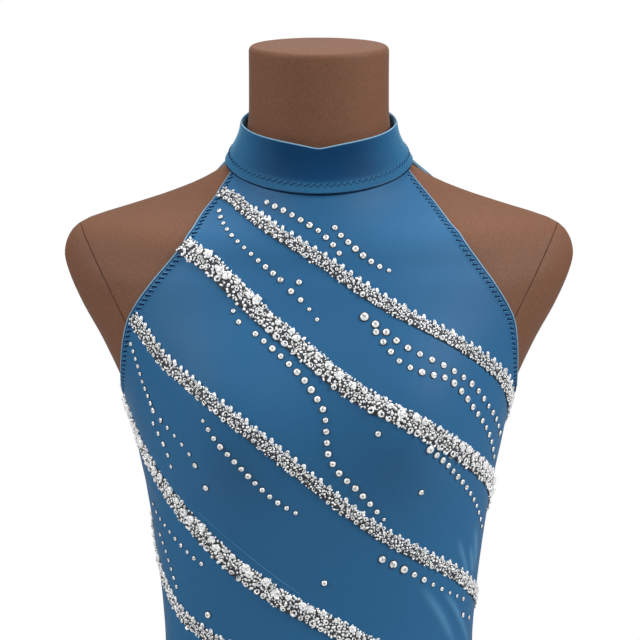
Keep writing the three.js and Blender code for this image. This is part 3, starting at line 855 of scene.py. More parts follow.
def onSkirt(angle, drop):
    # With small slanting ripples that grow with the flutes, and the doubled hem
    turn = np.radians(angle)
    share = drop / skirt["length"]
    swell, hem = skirt["swell"], skirt["hem"]
    rise = sum(h * np.sin(n * turn + phase + slant * share * 3) for n, phase, h, slant in skirt["ripples"])
    rise = rise * smooth(share, *skirt["rippleFade"])
    rise = rise * (swell["least"] + swell["more"] * np.sin(swell["waves"] * turn + swell["slant"] * share))
    edge = skirt["length"] - hem["height"]
    rise = rise + hem["rise"] * smooth(drop, edge - hem["fade"], edge)
    return skirtPoint(angle, drop) + skirtNormal(angle, drop) * rise[:, None]


def makeSkirt():
    for name, middle in (("skirt_front", 0), ("skirt_back", 180)):
        def lay(s, t):
            reach = 90 - dress["seamAngle"]
            drop = skirt["length"] * (1 - np.interp(t, *skirt["closeRows"]))
            return onSkirt(middle - reach + 2 * reach * s, drop), skirt["spread"]

        bm = bmesh.new()
        gridMesh(bm, skirt["columns"], skirt["rows"], lay)
        piece = thicken(finishMesh(name, bm, cloth), skirt["wall"])
        place(piece, "skirt_cloth", name)


makeSkirt()
print("skirt is made")


# The dress form, with the seam of each shoulder cap, and its stand
def cutCapSeam(bm, side):
    # Three cuts make a narrow strip along the seam, with a groove along its middle; the strip's faces take
    # the dark seam colour, painted shade in the groove
    seam = form["capSeamShade"]
    point, across = Vector(seam["point"]) * mm, Vector(seam["across"]).normalized()
    point.x, across.x = point.x * side, across.x * side
    beyond, lowest, width = (seam[key] * mm for key in ("beyond", "lowest", "width"))
    for shift in (-0.5, 0.0, 0.5):
        outer = [f for f in bm.faces if f.calc_center_median().x * side > beyond]
        near = list({g for f in outer for g in (*f.verts, *f.edges)}) + outer
        cut = bmesh.ops.bisect_plane(bm, geom=near, dist=1e-6, plane_no=across,
                                     plane_co=point + across * shift * width)["geom_cut"]
        if shift:
            continue
        for vertex in {v for v in cut if isinstance(v, bmesh.types.BMVert)}:
            if vertex.co.z > lowest:
                vertex.co -= vertex.normal * seam["depth"] * mm
    for face in bm.faces:
        middle = face.calc_center_median()
        if middle.x * side > beyond and middle.z > lowest and abs((middle - point).dot(across)) < width / 2:
            # painted shade along the groove
            face.material_index = 1


def makeForm():
    # Rings of a level and how far they are drawn in; those of the socket have none
    rounding = form["rounding"]
    low, high = rounding["bottom"], rounding["top"]
    turn = np.linspace(0, np.pi / 2, rounding["steps"])
    rings = [(form["bottom"] + form["socket"]["depth"], -1), (form["bottom"], -1)]
    rings += [(form["bottom"] + low * (1 - math.cos(a)), low * (1 - math.sin(a))) for a in turn]
    walls = np.linspace(form["bottom"] + low, form["top"] - high, form["rows"])[1:-1]
    rings += [(level, 0.0) for level in walls]
    rings += [(form["top"] - high * (1 - math.cos(a)), high * (1 - math.sin(a))) for a in turn[::-1]]
    levels, insets = np.array(rings, float).T

    def lay(s, t):
        row = np.rint(t * (len(levels) - 1)).astype(int)
        angle, level, inset = 360 * s, levels[row], insets[row]
        points = onForm(angle, level)
        centre = np.stack([0 * angle, along(form["sections"], "level", "centre", level), level], -1)
        points = points + (centre - points) * np.maximum(inset, 0)[:, None] / rounding["reach"]
        around = np.radians(angle)
        socket = np.stack([np.sin(around), -np.cos(around), 0 * around], -1) * form["socket"]["radius"]
        socket[:, 2] = level
        return np.where(inset[:, None] < 0, socket, points), form["spread"]

    bm = bmesh.new()
    gridMesh(bm, form["columns"], len(levels) - 1, lay)
    closeMesh(bm, 1e-5)
    bm.normal_update()
    for side in (1, -1):
        cutCapSeam(bm, side)
    for face in bm.faces:
        face.smooth = True
    piece = place(finishMesh("form_torso", bm, skin, capSeamShade), "form_skin", "form_torso")
    piece.data.set_sharp_from_angle(angle=math.radians(50))


stand = dict(
    pole=12.5, poleEdge=1.0, clear=0.5, base=170.0, gap=0.3, sleeve=46.0, sharp=35.0,
    # how far in from the base's rim, and the height
    rim=((2, 0), (0.6, 0.6), (0, 2), (0, 5), (0.5, 6.5), (1.5, 7.6), (3, 8), (12, 8), (12.5, 7.7), (13, 8)),
    # radius, and height above the base
    flange=((30, 0), (30, 3), (29, 4), (23, 6), (20.5, 8), (19, 11), (19, 38), (19.6, 38.6), (19.6, 44.6),
            (19, 45.6), (18, 46)),
    segments=dict(stand_base=128, stand_sleeve=96, stand_pole=64),
)


def makeStand():
    baseTop = stand["rim"][-1][1]
    low = baseTop + stand["gap"]
    high = form["bottom"] + form["socket"]["depth"] - stand["gap"]
    pole, inner = stand["pole"], stand["pole"] + stand["clear"]
    rim = [(stand["base"] - x, z) for x, z in stand["rim"]]
    flange = [(x, low + z) for x, z in stand["flange"]]
    shoulder = [(pole, high - stand["poleEdge"]), (pole - stand["poleEdge"], high)]
    profiles = dict(
        stand_base=[(0, 0), *rim, (0, baseTop)],
        stand_sleeve=[(inner, low), *flange, (inner, low + stand["sleeve"]), (inner, low)],
        stand_pole=[(0, low), (pole, low), *shoulder, (0, high)],
    )
    for name, profile in profiles.items():
        bm = spun([(x * mm, z * mm) for x, z in profile], stand["segments"][name], 1e-6)
        for face in bm.faces:
            face.smooth = True
        piece = place(finishMesh(name, bm, steel), "stand_steel", name)
        piece.data.set_sharp_from_angle(angle=math.radians(stand["sharp"]))


makeForm()
makeStand()
print("form and stand are made")


# Small things: one template mesh set many times. A template's faces carry a tone and a material number.
def template(make, *extra):
    bm = bmesh.new()
    tone = bm.faces.layers.float.new("tone")
    make(bm, tone, *extra)
    bm.verts.index_update()
    points = np.array([v.co for v in bm.verts])
    faces = [[v.index for v in f.verts] for f in bm.faces]
    tones = np.array([f[tone] for f in bm.faces])
    slots = np.array([f.material_index for f in bm.faces])
    bm.free()
    return points, faces, tones, slots


def paint(faces, layer, tone, slot=0):
    for face in faces:
        face[layer] = tone
        face.material_index = slot


def roundBead(bm, tone, stretch, flatness):
    bmesh.ops.create_icosphere(bm, subdivisions=1, radius=1.0)
    bmesh.ops.scale(bm, verts=bm.verts, vec=(stretch, 1 / stretch ** 0.5, flatness))
    paint(bm.faces, tone, 1.0)


gemCut = dict(  # in shares of the stone's radius
    # side, middle: painted tones of the side and middle facets, as sparkle
    sides=12, table=0.9, height=0.3, eye=0.36, bevel=0.22, dimple=-0.05, side=0.85, middle=0.35,
    rim=(1.17, 1.1), rimHeight=0.16,
)


def gem(bm, tone):
    # A foil-backed stone in a dark rim, the setting with a painted shadow round it; a bright bevel round a
    # small dull middle, as painted sparkle in the facets' tones
    cut = gemCut
    bmesh.ops.create_cone(bm, cap_ends=True, segments=cut["sides"], radius1=1.0, radius2=cut["table"],
                          depth=cut["height"])
    paint(bm.faces, tone, cut["side"])
    top = max(bm.faces, key=lambda f: f.calc_center_median().z)
    ring = bmesh.ops.inset_individual(bm, faces=[top], thickness=cut["table"] - cut["eye"],
                                      depth=cut["bevel"])["faces"]
    paint(ring, tone, 1.0)
    paint(bmesh.ops.poke(bm, faces=[top], offset=cut["dimple"])["faces"], tone, cut["middle"])
    wide, narrow = cut["rim"]
    rim = bmesh.ops.create_cone(bm, cap_ends=True, segments=cut["sides"], radius1=wide, radius2=narrow,
                                depth=cut["rimHeight"])["verts"]
    bmesh.ops.translate(bm, verts=rim, vec=(0, 0, -cut["rimHeight"] / 2))
    paint({f for v in rim for f in v.link_faces}, tone, 0.0, 1)
    bmesh.ops.translate(bm, verts=bm.verts, vec=(0, 0, cut["height"] / 2))


def nugget(bm, tone):
    # A large stone with many facets, for the wide bands
    bmesh.ops.create_icosphere(bm, subdivisions=2, radius=1.0)
    bmesh.ops.scale(bm, verts=bm.verts, vec=(1.05, 0.95, 0.6))
    paint(bm.faces, tone, 1.0)


curl = dict(turns=1.45, steps=13, sides=4, tighten=0.62, bend=0.8, thick=0.27, taper=0.25, rise=0.30)


def swirl(bm, tone):
    # A curled loop of wire-thin stones: a spiral of a turn and a half
    def lay(s, t):
        spin, around = 2 * np.pi * curl["turns"] * s, 2 * np.pi * t
        thick = curl["thick"] * (1 - curl["taper"] * s)
        out = 1.0 - curl["tighten"] * s ** curl["bend"] + thick * np.cos(around)
        z = curl["rise"] * s + thick * np.sin(around)
        return np.stack([out * np.cos(spin), out * np.sin(spin), z], -1) / mm, (1, 1)

    gridMesh(bm, curl["steps"], curl["sides"], lay)
    closeMesh(bm, 1e-4)
    paint(bm.faces, tone, 1.0)


def pad(bm, tone):
    # The dark round cloth under a curl
    bmesh.ops.create_cone(bm, cap_ends=True, segments=12, radius1=1.0, radius2=0.92, depth=0.2)
    paint(bm.faces, tone, 0.0, 1)


def petal(bm, tone):
    # A long leaf-shaped stone, wider at its outer end
    bmesh.ops.create_uvsphere(bm, u_segments=8, v_segments=5, radius=1.0)
    for vertex in bm.verts:
        x, y, z = vertex.co
        vertex.co = (0.56 * y * (1 + 0.25 * z), z, 0.45 * x)
    bmesh.ops.recalc_face_normals(bm, faces=bm.faces)
    # the operator's own order of faces can change from run to run, and each facet's tone goes by it
    bm.faces.sort(key=lambda f: f.calc_center_median().dot(Vector((1, 10, 100))))
    paint(bm.faces, tone, 1.0)


shapes = dict(
    bead=template(roundBead, 1.0, 0.85), bean=template(roundBead, 1.4, 0.7),
    gem=template(gem), nugget=template(nugget), petal=template(petal), pad=template(pad),
    swirl=template(swirl),
)


def setStones(shape, points, normals, aheadOf, radii, rng, dark):
    # Copies of a template at points, facing the normals
    base, faces, tones, slots = shapes[shape]
    x = unit(aheadOf - normals * (aheadOf * normals).sum(-1, keepdims=True))
    axes = np.stack([x, np.cross(normals, x), normals], 1)
    verts = (base @ axes) * radii[:, None, None] + points[:, None]
    # painted sparkle: most facets shine, a share of them are dull
    shine = rng.uniform(0.8, 1.0, (len(points), len(faces)))
    dull = rng.random(shine.shape) < dark
    return verts, faces, tones * np.where(dull, rng.uniform(0.05, 0.5, shine.shape), shine), slots


def joined(name, groups, materials):
    # One mesh from groups of (vertices of each copy, faces of one copy, tones, material numbers)
    columns = dict(verts=[], loops=[], starts=[], totals=[], tones=[], slots=[])
    vertexCount = loopCount = 0
    for verts, faces, tones, slots in groups:
        copies, count = verts.shape[:2]
        copy = np.arange(copies)[:, None]
        loops, sizes = np.concatenate(faces), np.array([len(f) for f in faces])
        first = np.concatenate([[0], np.cumsum(sizes)[:-1]])
        made = dict(
            verts=verts.reshape(-1, 3) * mm, loops=(vertexCount + copy * count + loops).ravel(),
            starts=(loopCount + copy * len(loops) + first).ravel(), totals=np.tile(sizes, copies),
            tones=np.asarray(tones, float).ravel(), slots=np.tile(slots, copies),
        )
        for key, values in made.items():
            columns[key].append(values)
        vertexCount += copies * count
        loopCount += copies * len(loops)
    data = {key: np.concatenate(values) for key, values in columns.items()}
    mesh = bpy.data.meshes.new(name)
    mesh.vertices.add(len(data["verts"]))
    mesh.vertices.foreach_set("co", data["verts"].ravel())
    mesh.loops.add(len(data["loops"]))
    mesh.loops.foreach_set("vertex_index", data["loops"].astype(np.int32))
    mesh.polygons.add(len(data["starts"]))
    for material in materials:
        mesh.materials.append(material)
    for key, column in (("loop_start", "starts"), ("loop_total", "totals"), ("material_index", "slots")):
        mesh.polygons.foreach_set(key, data[column].astype(np.int32))
    mesh.attributes.new("tone", "FLOAT", "FACE").data.foreach_set("value", data["tones"].astype(np.float32))
    mesh.update(calc_edges=True)
    mesh.validate()
    return link(name, mesh)


bandLook = dict(
    steps=240, lift=(0.55, 1.15), tilt=0.22, edgeDrop=0.5, wideFrom=12.0, margin=3.0,
    dark=dict(pad=0.1, nugget=0.16, swirl=0.16, bead=0.17, bean=0.2, petal=0.25),
    # the net's shift moves it towards the lower edge, where it shows as a painted shadow line
    net=dict(height=0.7, edge=0.3, inset=1.3, shift=0.95, step=3.0, across=6, wall=0.3),
    # a curl is a spiral or a broken ring of beads on a pad: shares of its ring, and how far each stands up
    curl=dict(jitter=1.4, inward=-0.2, pad=1.28, padUp=-0.55, swirl=1.12, swirlUp=0.25, beads=(5, 8),
              wide=(0.95, 1.3), reach=(0.82, 1.05), bead=(0.36, 0.58), beadUp=(0.4, 0.9)),
    # a large stone and the beads of its cluster
    nugget=dict(jitter=3.0, start=5.0, end=4.0, inset=(0.55, 1.5), size=0.86, up=0.6, beads=8,
                reach=(0.45, 0.95), bead=(0.24, 0.38), beadUp=1.6, beadDrop=0.5),
    petal=dict(jitter=0.7, sink=0.7, share=0.3, up=1.1, lean=(0.6, 1.15)),
    # seeds: radius, tries for each centimetre and shape
    narrow=dict(
        spacing=0.93, curls=dict(every=6.4, ring=(1.35, 2.0), out=1.3, swirls=0.6),
        nuggets=None, petals=dict(every=(6.6, 8.9), length=(2.1, 2.7)),
        seeds=((1.6, 12, "swirl"), (1.2, 30, "bean"), (1.0, 50, "bead"), (0.85, 50, "bean"),
               (0.62, 40, "bead")),
    ),
    wide=dict(
        spacing=0.90, curls=dict(every=7.6, ring=(1.8, 2.8), out=1.5, swirls=0.65),
        nuggets=dict(every=10.0, radius=(2.4, 4.0)), petals=None,
        seeds=((2.0, 9, "swirl"), (1.4, 24, "bean"), (1.15, 50, "bead"), (0.95, 60, "bean"),
               (0.8, 60, "bead"), (0.62, 40, "bean")),
    ),
)
bands = listed("name width petalsFrom line", [
    ("front_band_1", 9.5, 36, [
        (-56, 1381), (-40, 1378.5), (-26, 1372), (-16, 1365), (-9, 1357), (-0.8, 1342), (9.3, 1314),
        (21.4, 1290), (34.6, 1270), (46.8, 1253.5), (63, 1234), (75, 1219), (89.8, 1206)]),
    ("front_band_2", 14, 3, [
        (-32.5, 1346), (-25.2, 1335), (-18.6, 1314.5), (-10.3, 1283.5), (-0.9, 1257), (6.3, 1240),
        (14.9, 1226),
        (25, 1214), (36, 1200.5), (52.2, 1180.5), (63.2, 1169), (77, 1155), (89.8, 1141)]),
    ("front_band_3", 9.5, 3, [
        (-48, 1288), (-46, 1272), (-42.6, 1255), (-35, 1236), (-25.3, 1214.5), (-7.3, 1178), (3.1, 1158.5),
        (11, 1144.5), (22.2, 1127.5), (34.8, 1112.5), (51, 1097), (68, 1080.5), (89.8, 1064)]),
    ("front_band_4", 14, 3, [
        (-89.8, 1220), (-80, 1206), (-72, 1192), (-61.4, 1168.5), (-50.3, 1145.5), (-39.2, 1123.5),
        (-27.4, 1102), (-13.8, 1082.5), (0, 1067), (12, 1053.5), (22, 1042)]),
    ("front_band_5", 9.5, 3, [
        (-89.8, 1124), (-81, 1104), (-71.2, 1086), (-63.4, 1073), (-55.4, 1062), (-43, 1050.5), (-30, 1040)]),
    ("back_band_1", 9.5, 3, [
        (90.2, 1206), (120, 1188), (150, 1172), (180, 1160), (210, 1149), (240, 1138), (269.8, 1124)]),
    ("back_band_2", 14, 3, [
        (90.2, 1141), (120, 1118), (150, 1100), (180, 1085), (210, 1071), (232, 1058), (250, 1042)]),
    ("back_band_3", 9.5, 3, [(90.2, 1064), (104, 1052), (118, 1040)]),
    ("back_band_4", 14, 3, [
        (139, 1303), (160, 1289), (180, 1277), (200, 1265), (220, 1253), (240, 1240), (255, 1229),
        (269.8, 1220)]),
])


def addCurls(spots, length, width, look, rng):
    # Curls at the lower edge, on dark round pads
    own = bandLook["curl"]
    for s in np.arange(bandLook["margin"], length - bandLook["margin"], look["every"]):
        s = s + rng.uniform(-own["jitter"], own["jitter"])
        ring = rng.uniform(*look["ring"])
        w = width / 2 - ring + rng.uniform(own["inward"], look["out"])
        spots.append((s, w, ring * own["pad"], "pad", own["padUp"]))
        if rng.random() < look["swirls"]:
            spots.append((s, w, ring * own["swirl"], "swirl", own["swirlUp"]))
            continue
        count = rng.integers(*own["beads"])
        wide, first = rng.uniform(*own["wide"]), rng.uniform(0, 6)
        for turn in np.linspace(0, 2 * math.pi, count, endpoint=False)[:-1] + first:
            away, bead = ring * rng.uniform(*own["reach"]), ring * rng.uniform(*own["bead"])
            shape, up = rng.choice(("bead", "bean")), rng.uniform(*own["beadUp"])
            spots.append((s + wide * away * math.cos(turn), w + away * math.sin(turn), bead, shape, up))


def addNuggets(spots, length, width, look, rng):
    # Large stones near the upper edge, each in a cluster of small ones
    own = bandLook["nugget"]
    for s in np.arange(own["start"], length - own["end"], look["every"]):
        s, r = s + rng.uniform(-own["jitter"], own["jitter"]), rng.uniform(*look["radius"])
        w = -width / 2 + r * rng.uniform(*own["inset"])
        spots.append((s, w, r * own["size"], "nugget", own["up"]))
        for turn in rng.uniform(0, 2 * math.pi, own["beads"]):
            away = r * rng.uniform(*own["reach"])
            bead, up = r * rng.uniform(*own["bead"]), own["beadUp"] - own["beadDrop"] * away / r
            spots.append((s + away * math.cos(turn), w + away * math.sin(turn), bead, "bead", up))


def strew(length, width, look, rng):
    # Where the stones of a band lie: along it, across it, their radius, shape and how much they stand up
    spots = []
    addCurls(spots, length, width, look["curls"], rng)
    if look["nuggets"]:
        addNuggets(spots, length, width, look["nuggets"], rng)
    placed = np.zeros((6000, 3))
    placed[:len(spots)] = [spot[:3] for spot in spots]
    for radius, perCm, shape in look["seeds"]:
        for _ in range(int(length / 10 * perCm)):
            r = radius * rng.uniform(0.82, 1.18)
            s, w = rng.uniform(r * 0.6, length - r * 0.6), rng.uniform(-1, 1) * (width / 2 - r * 0.4)
            taken = placed[:len(spots)]
            if (np.hypot(taken[:, 0] - s, taken[:, 1] - w) < (taken[:, 2] + r) * look["spacing"]).any():
                continue
            placed[len(spots)] = s, w, r
            spots.append((s, w, r, shape, 0.0))
    return spots


def makeBand(band, rng):
    width = band["width"]
    angle, level, length = curvePath(band["line"], bandLook["steps"])
    _, ahead, sideways = pathFrame(angle, level, dress["outside"])
    at = np.linspace(0, length, bandLook["steps"])
    look = bandLook["wide" if width > bandLook["wideFrom"] else "narrow"]

    def spotOn(s, w, height):
        side, onward = readAlong(s, at, sideways), readAlong(s, at, ahead)
        a, u = aside(np.interp(s, at, angle), np.interp(s, at, level), side * w[:, None], dress["outside"])
        return onForm(a, u, dress["outside"] + height), formNormal(a, u), unit(onward), unit(side)

    spots = strew(length, width, look, rng)
    groups = []
    for shape in ("pad", "nugget", "swirl", "bead", "bean"):
        chosen = np.array([(s, w, r, up) for s, w, r, kind, up in spots if kind == shape])
        if not len(chosen):
            continue
        s, w, r, up = chosen.T
        drop = bandLook["edgeDrop"] * (2 * np.abs(w) / width) ** 4
        points, normals, onward, _ = spotOn(s, w, rng.uniform(*bandLook["lift"], len(r)) + up - drop)
        normals = unit(normals + rng.normal(0, bandLook["tilt"], normals.shape))
        spin = rng.uniform(0, 2 * np.pi, len(r))[:, None]
        facing = onward * np.cos(spin) + np.cross(normals, onward) * np.sin(spin)
        groups.append(setStones(shape, points, normals, facing, r, rng, bandLook["dark"][shape]))
    if look["petals"]:
        # long stones stand out from the upper edge
        petals, own = look["petals"], bandLook["petal"]
        s = np.cumsum(np.linspace(*petals["every"], int(length / np.mean(petals["every"]))))
        s = s[(s > band["petalsFrom"]) & (s < length - bandLook["margin"])]
        s = s + rng.uniform(-own["jitter"], own["jitter"], len(s))
        reach = rng.uniform(*petals["length"], len(s))
        out = width / 2 + reach * own["share"] - own["sink"]
        points, normals, onward, side = spotOn(s, -out, own["up"] + 0 * s)
        lean = unit(-side - rng.uniform(*own["lean"], len(s))[:, None] * onward)
        facing = np.cross(lean, normals)
        groups.append(setStones("petal", points, normals, facing, reach, rng, bandLook["dark"]["petal"]))
    groups.append(makeNetStrip(length, width, spotOn))
    place(joined(band["name"], groups, (crystal, net)), "band_crystal", band["name"])
    return len(spots)


def makeNetStrip(length, width, spotOn):
    # The dark net under the stones, thicker along its middle; shifted towards the lower edge, it shows there
    # as a painted shadow line
    look = bandLook["net"]

    def lay(s, t):
        bulge = look["edge"] + (look["height"] - look["edge"]) * (1 - (2 * t - 1) ** 4)
        across = (t - 0.5) * (width - look["inset"]) + look["shift"]
        return spotOn(s * length, across, bulge)[0], (length * mm, width * mm)

    bm = bmesh.new()
    gridMesh(bm, int(length / look["step"]), look["across"], lay)
    bmesh.ops.recalc_face_normals(bm, faces=bm.faces)
    bmesh.ops.solidify(bm, geom=bm.faces, thickness=look["wall"] * mm)
    bm.verts.index_update()
    points = np.array([v.co for v in bm.verts])[None] / mm
    faces = [[v.index for v in f.verts] for f in bm.faces]
    bm.free()
    return points, faces, np.zeros(len(faces)), np.ones(len(faces))


beads = 0
for i, band in enumerate(bands):
    beads += makeBand(band, np.random.default_rng(40 + i))
print("crystal bands are made:", beads, "beads")

# Chains of single stones: how many, how their radius goes along the chain, and their line
chains = listed("count radius line", [
    (10, (2.0, 2.3, 1.9), [
        (-26.5, 1382.8), (-15.6, 1378.6), (-6.5, 1372.2), (-0.3, 1363.9), (3.3, 1350.8), (4.5, 1344.2)]),
    (8, (2.1, 2.6, 1.4), [(5.1, 1366), (6.5, 1355.3), (9.2, 1343.6), (12.9, 1332.4), (15.2, 1328)]),
    (12, (1.8, 1.7, 1.6, 2.2), [
        (-38.7, 1369.9), (-28.6, 1361.6), (-20.6, 1352.9), (-16.3, 1345.3), (-13.3, 1337.2), (-8.3, 1321.3)]),
    (4, (2.3, 2.1, 1.6, 1.6), [(-6.1, 1312.2), (-3.6, 1303.8), (-2.1, 1297.5), (-0.4, 1289.5)]),
    (2, (1.6, 2.1), [(-19.6, 1295.5), (-18.8, 1286.7)]),
    (22, (2.2, 2.3, 2.3, 2.5, 2.2, 2.2, 2.3, 2.6, 2.5, 1.3), [
        (-15.3, 1277.4), (-8.7, 1256.4), (-4.8, 1244.1), (-1.4, 1230.8), (1.5, 1217.5), (2.3, 1201.7),
        (3.1, 1186.6), (6.5, 1174.1), (11.6, 1163.4), (21.2, 1140)]),
    (18, (2.9, 2.3, 2.4, 2.4, 2.1, 2.2), [
        (10.5, 1291.5), (15.4, 1280.6), (19.9, 1270.1), (25.8, 1260.9), (31.8, 1253.5), (39.1, 1244),
        (46.9, 1232.8), (55.9, 1217.9), (63.7, 1207.1), (71.1, 1195.2)]),
    (19, (2.2, 2.2, 2.5, 2.6, 2.2, 2.0), [
        (13.7, 1279), (17.7, 1264.8), (22, 1253.6), (28.4, 1246.3), (35.1, 1241.9), (41.8, 1230.5),
        (48.5, 1217.3), (55.6, 1205.2), (62.3, 1193.1), (70.1, 1178)]),
    (14, (2.9, 2.3, 1.8, 1.7), [
        (33.8, 1191.8), (41.7, 1178.5), (45.3, 1171.6), (52.1, 1160.1), (58.2, 1149.6), (65, 1137.7),
        (71.7, 1125.4)]),
    (10, (2.7, 2.7, 1.9, 1.3, 1.7), [
        (21.5, 1110.2), (30, 1101.4), (37.9, 1092.9), (46.8, 1084.1), (56.8, 1076.2), (61.2, 1073.2)]),
    (2, (1.9, 1.9), [(62.2, 1060.8), (69.3, 1056.9)]),
    (10, (1.5, 1.6, 2.1), [(-53.7, 1265.3), (-54.5, 1249.2), (-55.3, 1237.1), (-55, 1226.6),
        (-54.1, 1215.2)]),
    (6, (2.0, 1.5, 1.4, 1.9), [(-51.1, 1208.7), (-46.2, 1199.8), (-41.2, 1188), (-39.4, 1179.1)]),
    (5, (1.8, 1.9, 1.5), [(-55.7, 1205.5), (-52.8, 1194.2), (-51.2, 1187), (-50.4, 1175.4)]),
    (14, (1.4, 1.9, 2.4, 2.1, 2.2, 1.8, 1.9, 1.4), [
        (-34, 1211.5), (-30.8, 1198), (-27.2, 1187.9), (-22.5, 1174.6), (-17, 1160.5), (-12.1, 1151.2),
        (-7.5, 1145.2)]),
    (10, (1.4, 1.5, 1.7), [
        (-71, 1142.2), (-66.4, 1134), (-60, 1126.5), (-54.4, 1118.7), (-46.5, 1108), (-42.7, 1103.9)]),
    (7, (1.5, 1.5, 1.6), [(-68, 1119.9), (-64.3, 1109.1), (-61, 1094.2), (-58.6, 1083)]),
    (16, (1.7, 2.4, 2.2), [(112, 1250), (122, 1232), (140, 1216), (160, 1206), (178, 1196)]),
    (13, (2.5, 2.1, 1.7), [(196, 1242), (212, 1226), (226, 1208), (236, 1188)]),
    (12, (1.7, 2.0), [(104, 1160), (118, 1146), (134, 1136), (150, 1126)]),
    (12, (2.4, 1.6), [(176, 1136), (192, 1124), (206, 1108), (216, 1094)]),
    (7, (1.9, 1.6), [(244, 1196), (252, 1180), (262, 1166)]),
    (11, (2.2, 1.6), [(124, 1084), (138, 1072), (150, 1060), (160, 1048)]),
    (9, (2.1, 1.5), [(232, 1110), (246, 1096), (258, 1078)]),
    (6, (2.1, 1.6), [(208, 1312), (216, 1298), (226, 1288)]),
    (3, (2.0, 1.6), [(150, 1330), (158, 1316)]),
])
singles = dict(radius=2.3, spots=[
    (-4.3, 1319.5), (17.6, 1203.1), (33.1, 1159.7), (1.9, 1093.4), (-41.8, 1065.9), (-36.8, 1162.5),
    (170, 1238), (152, 1188), (128, 1106), (206, 1180), (186, 1062), (238, 1146)])
chainLook = dict(uneven=(0.88, 1.1), lift=0.2, tilt=0.05, dark=0.12)


def makeChains():
    rng = np.random.default_rng(7)
    stones = []  # angle, level and radius
    for chain in chains:
        angle, level, _ = curvePath(chain["line"], chain["count"])
        share, known = (np.linspace(0, 1, count) for count in (chain["count"], len(chain["radius"])))
        stones.append(np.stack([angle, level, np.interp(share, known, chain["radius"])]))
    lone = np.array(singles["spots"], float).T
    stones.append(np.stack([*lone, np.full(lone.shape[1], singles["radius"])]))
    angle, level, radius = np.concatenate(stones, 1)
    radius = radius * rng.uniform(*chainLook["uneven"], len(radius))
    for name, half in (("chains_front", np.abs(angle) < 90), ("chains_back", np.abs(angle) > 90)):
        a, u, r = angle[half], level[half], radius[half]
        normals = formNormal(a, u)
        onward, _ = steps(a, u)
        tilted = unit(normals + rng.normal(0, chainLook["tilt"], normals.shape))
        points = onForm(a, u, dress["outside"] + chainLook["lift"])
        groups = [setStones("gem", points, tilted, onward, r, rng, chainLook["dark"])]
        place(joined(name, groups, (crystal, net)), "band_crystal")


makeChains()
makeEdgeRolls()
makeFoldHighlight()
print("crystal chains are made")


# Sewing: a stitch is a short bent thread whose ends go into the cloth
def stitchShape(bm, tone):
    bmesh.ops.create_cone(bm, cap_ends=True, segments=6, radius1=1.0, radius2=1.0, depth=1.0)
    for height in (-0.3, -0.1, 0.1, 0.3):
        whole = bm.verts[:] + bm.edges[:] + bm.faces[:]
        bmesh.ops.bisect_plane(bm, geom=whole, dist=1e-6, plane_co=(0, 0, height), plane_no=(0, 0, 1))


stitchPoints, stitchFaces, _, _ = template(stitchShape)
stitchFaces = [face[::-1] for face in stitchFaces]
sewing = dict(
    dark=0.68, thin=0.18, pale=0.42, shift=0.95, bow=0.30, sink=0.22,
    armhole=dict(near=2.3, far=5.8, step=4.0), keyhole=dict(near=1.8, far=4.8, step=4.0), edgeSteps=140,
    collar=dict(level=1397.0, rise=2.4, step=5.0, weight=0.55, reach=178.5, stretch=1.22, lift=0.1),
    hem=dict(up=9.5, step=3.2, gap=0.8, steps=4000),
)


def sew(name, starts, ends, normals, radius, material, slot):
    span = ends - starts
    x = span / np.linalg.norm(span, axis=1)[:, None]
    z = unit(normals - x * (normals * x).sum(-1, keepdims=True))
    y = np.cross(z, x)
    share = stitchPoints[:, 2] + 0.5
    bow = sewing["bow"] * np.sin(np.pi * share) - sewing["sink"]
    radius = np.broadcast_to(radius, len(starts))[:, None]
    verts = starts[:, None] + span[:, None] * share[:, None]
    verts = verts + y[:, None] * (stitchPoints[:, 0] * radius)[..., None]
    verts = verts + z[:, None] * (stitchPoints[:, 1] * radius + bow)[..., None]
    tones, slots = np.zeros(len(verts) * len(stitchFaces)), np.zeros(len(stitchFaces))
    place(joined(name, [(verts, stitchFaces, tones, slots)], (material,)), slot)


def sewZigzag(name, starts, ends, normals, slot, weight=1.0):
    # Every other leg is pulled tight into a dark stroke, with a pale thread beside it as a painted highlight
    heavy = np.where(np.arange(len(starts)) % 2 == 0, sewing["dark"], sewing["thin"]) * weight
    sew(name, starts, ends, normals, heavy, thread, slot)
    beside = unit(np.cross(normals, ends - starts)) * sewing["shift"] * weight
    starts, ends, normals = (x[::2] for x in (starts + beside, ends + beside, normals))
    sew(name + "_pale", starts, ends, normals, sewing["pale"] * weight, paleThread, slot)


def zigzag(angleOf, span, inward, look):
    line = np.stack(edgeLine(angleOf, *span, sewing["edgeSteps"]), -1)
    length = lengthAlong(onForm(*line.T, dress["outside"]))
    angle, level = readAlong(np.arange(1.0, length[-1] - 1, look["step"] / 2), length, line).T
    lift = dress["outside"] + dress["hemHeight"]
    _, _, sideways = pathFrame(angle, level, lift)
    reach = np.where(np.arange(len(angle)) % 2 == 0, look["near"], look["far"]) * inward
    angle, level = aside(angle, level, sideways * reach[:, None], lift)
    return onForm(angle, level, lift), formNormal(angle, level)


def sewEdges():
    legs = []  # starts, ends and normals
    for name, (angleOf, span, inward) in sewnEdges.items():
        points, out = zigzag(angleOf, span, inward, sewing["keyhole" if "keyhole" in name else "armhole"])
        legs.append(np.stack([points[:-1], points[1:], out[:-1]]))
    sewZigzag("edge_stitches", *np.concatenate(legs, 1), "bodice_cloth")


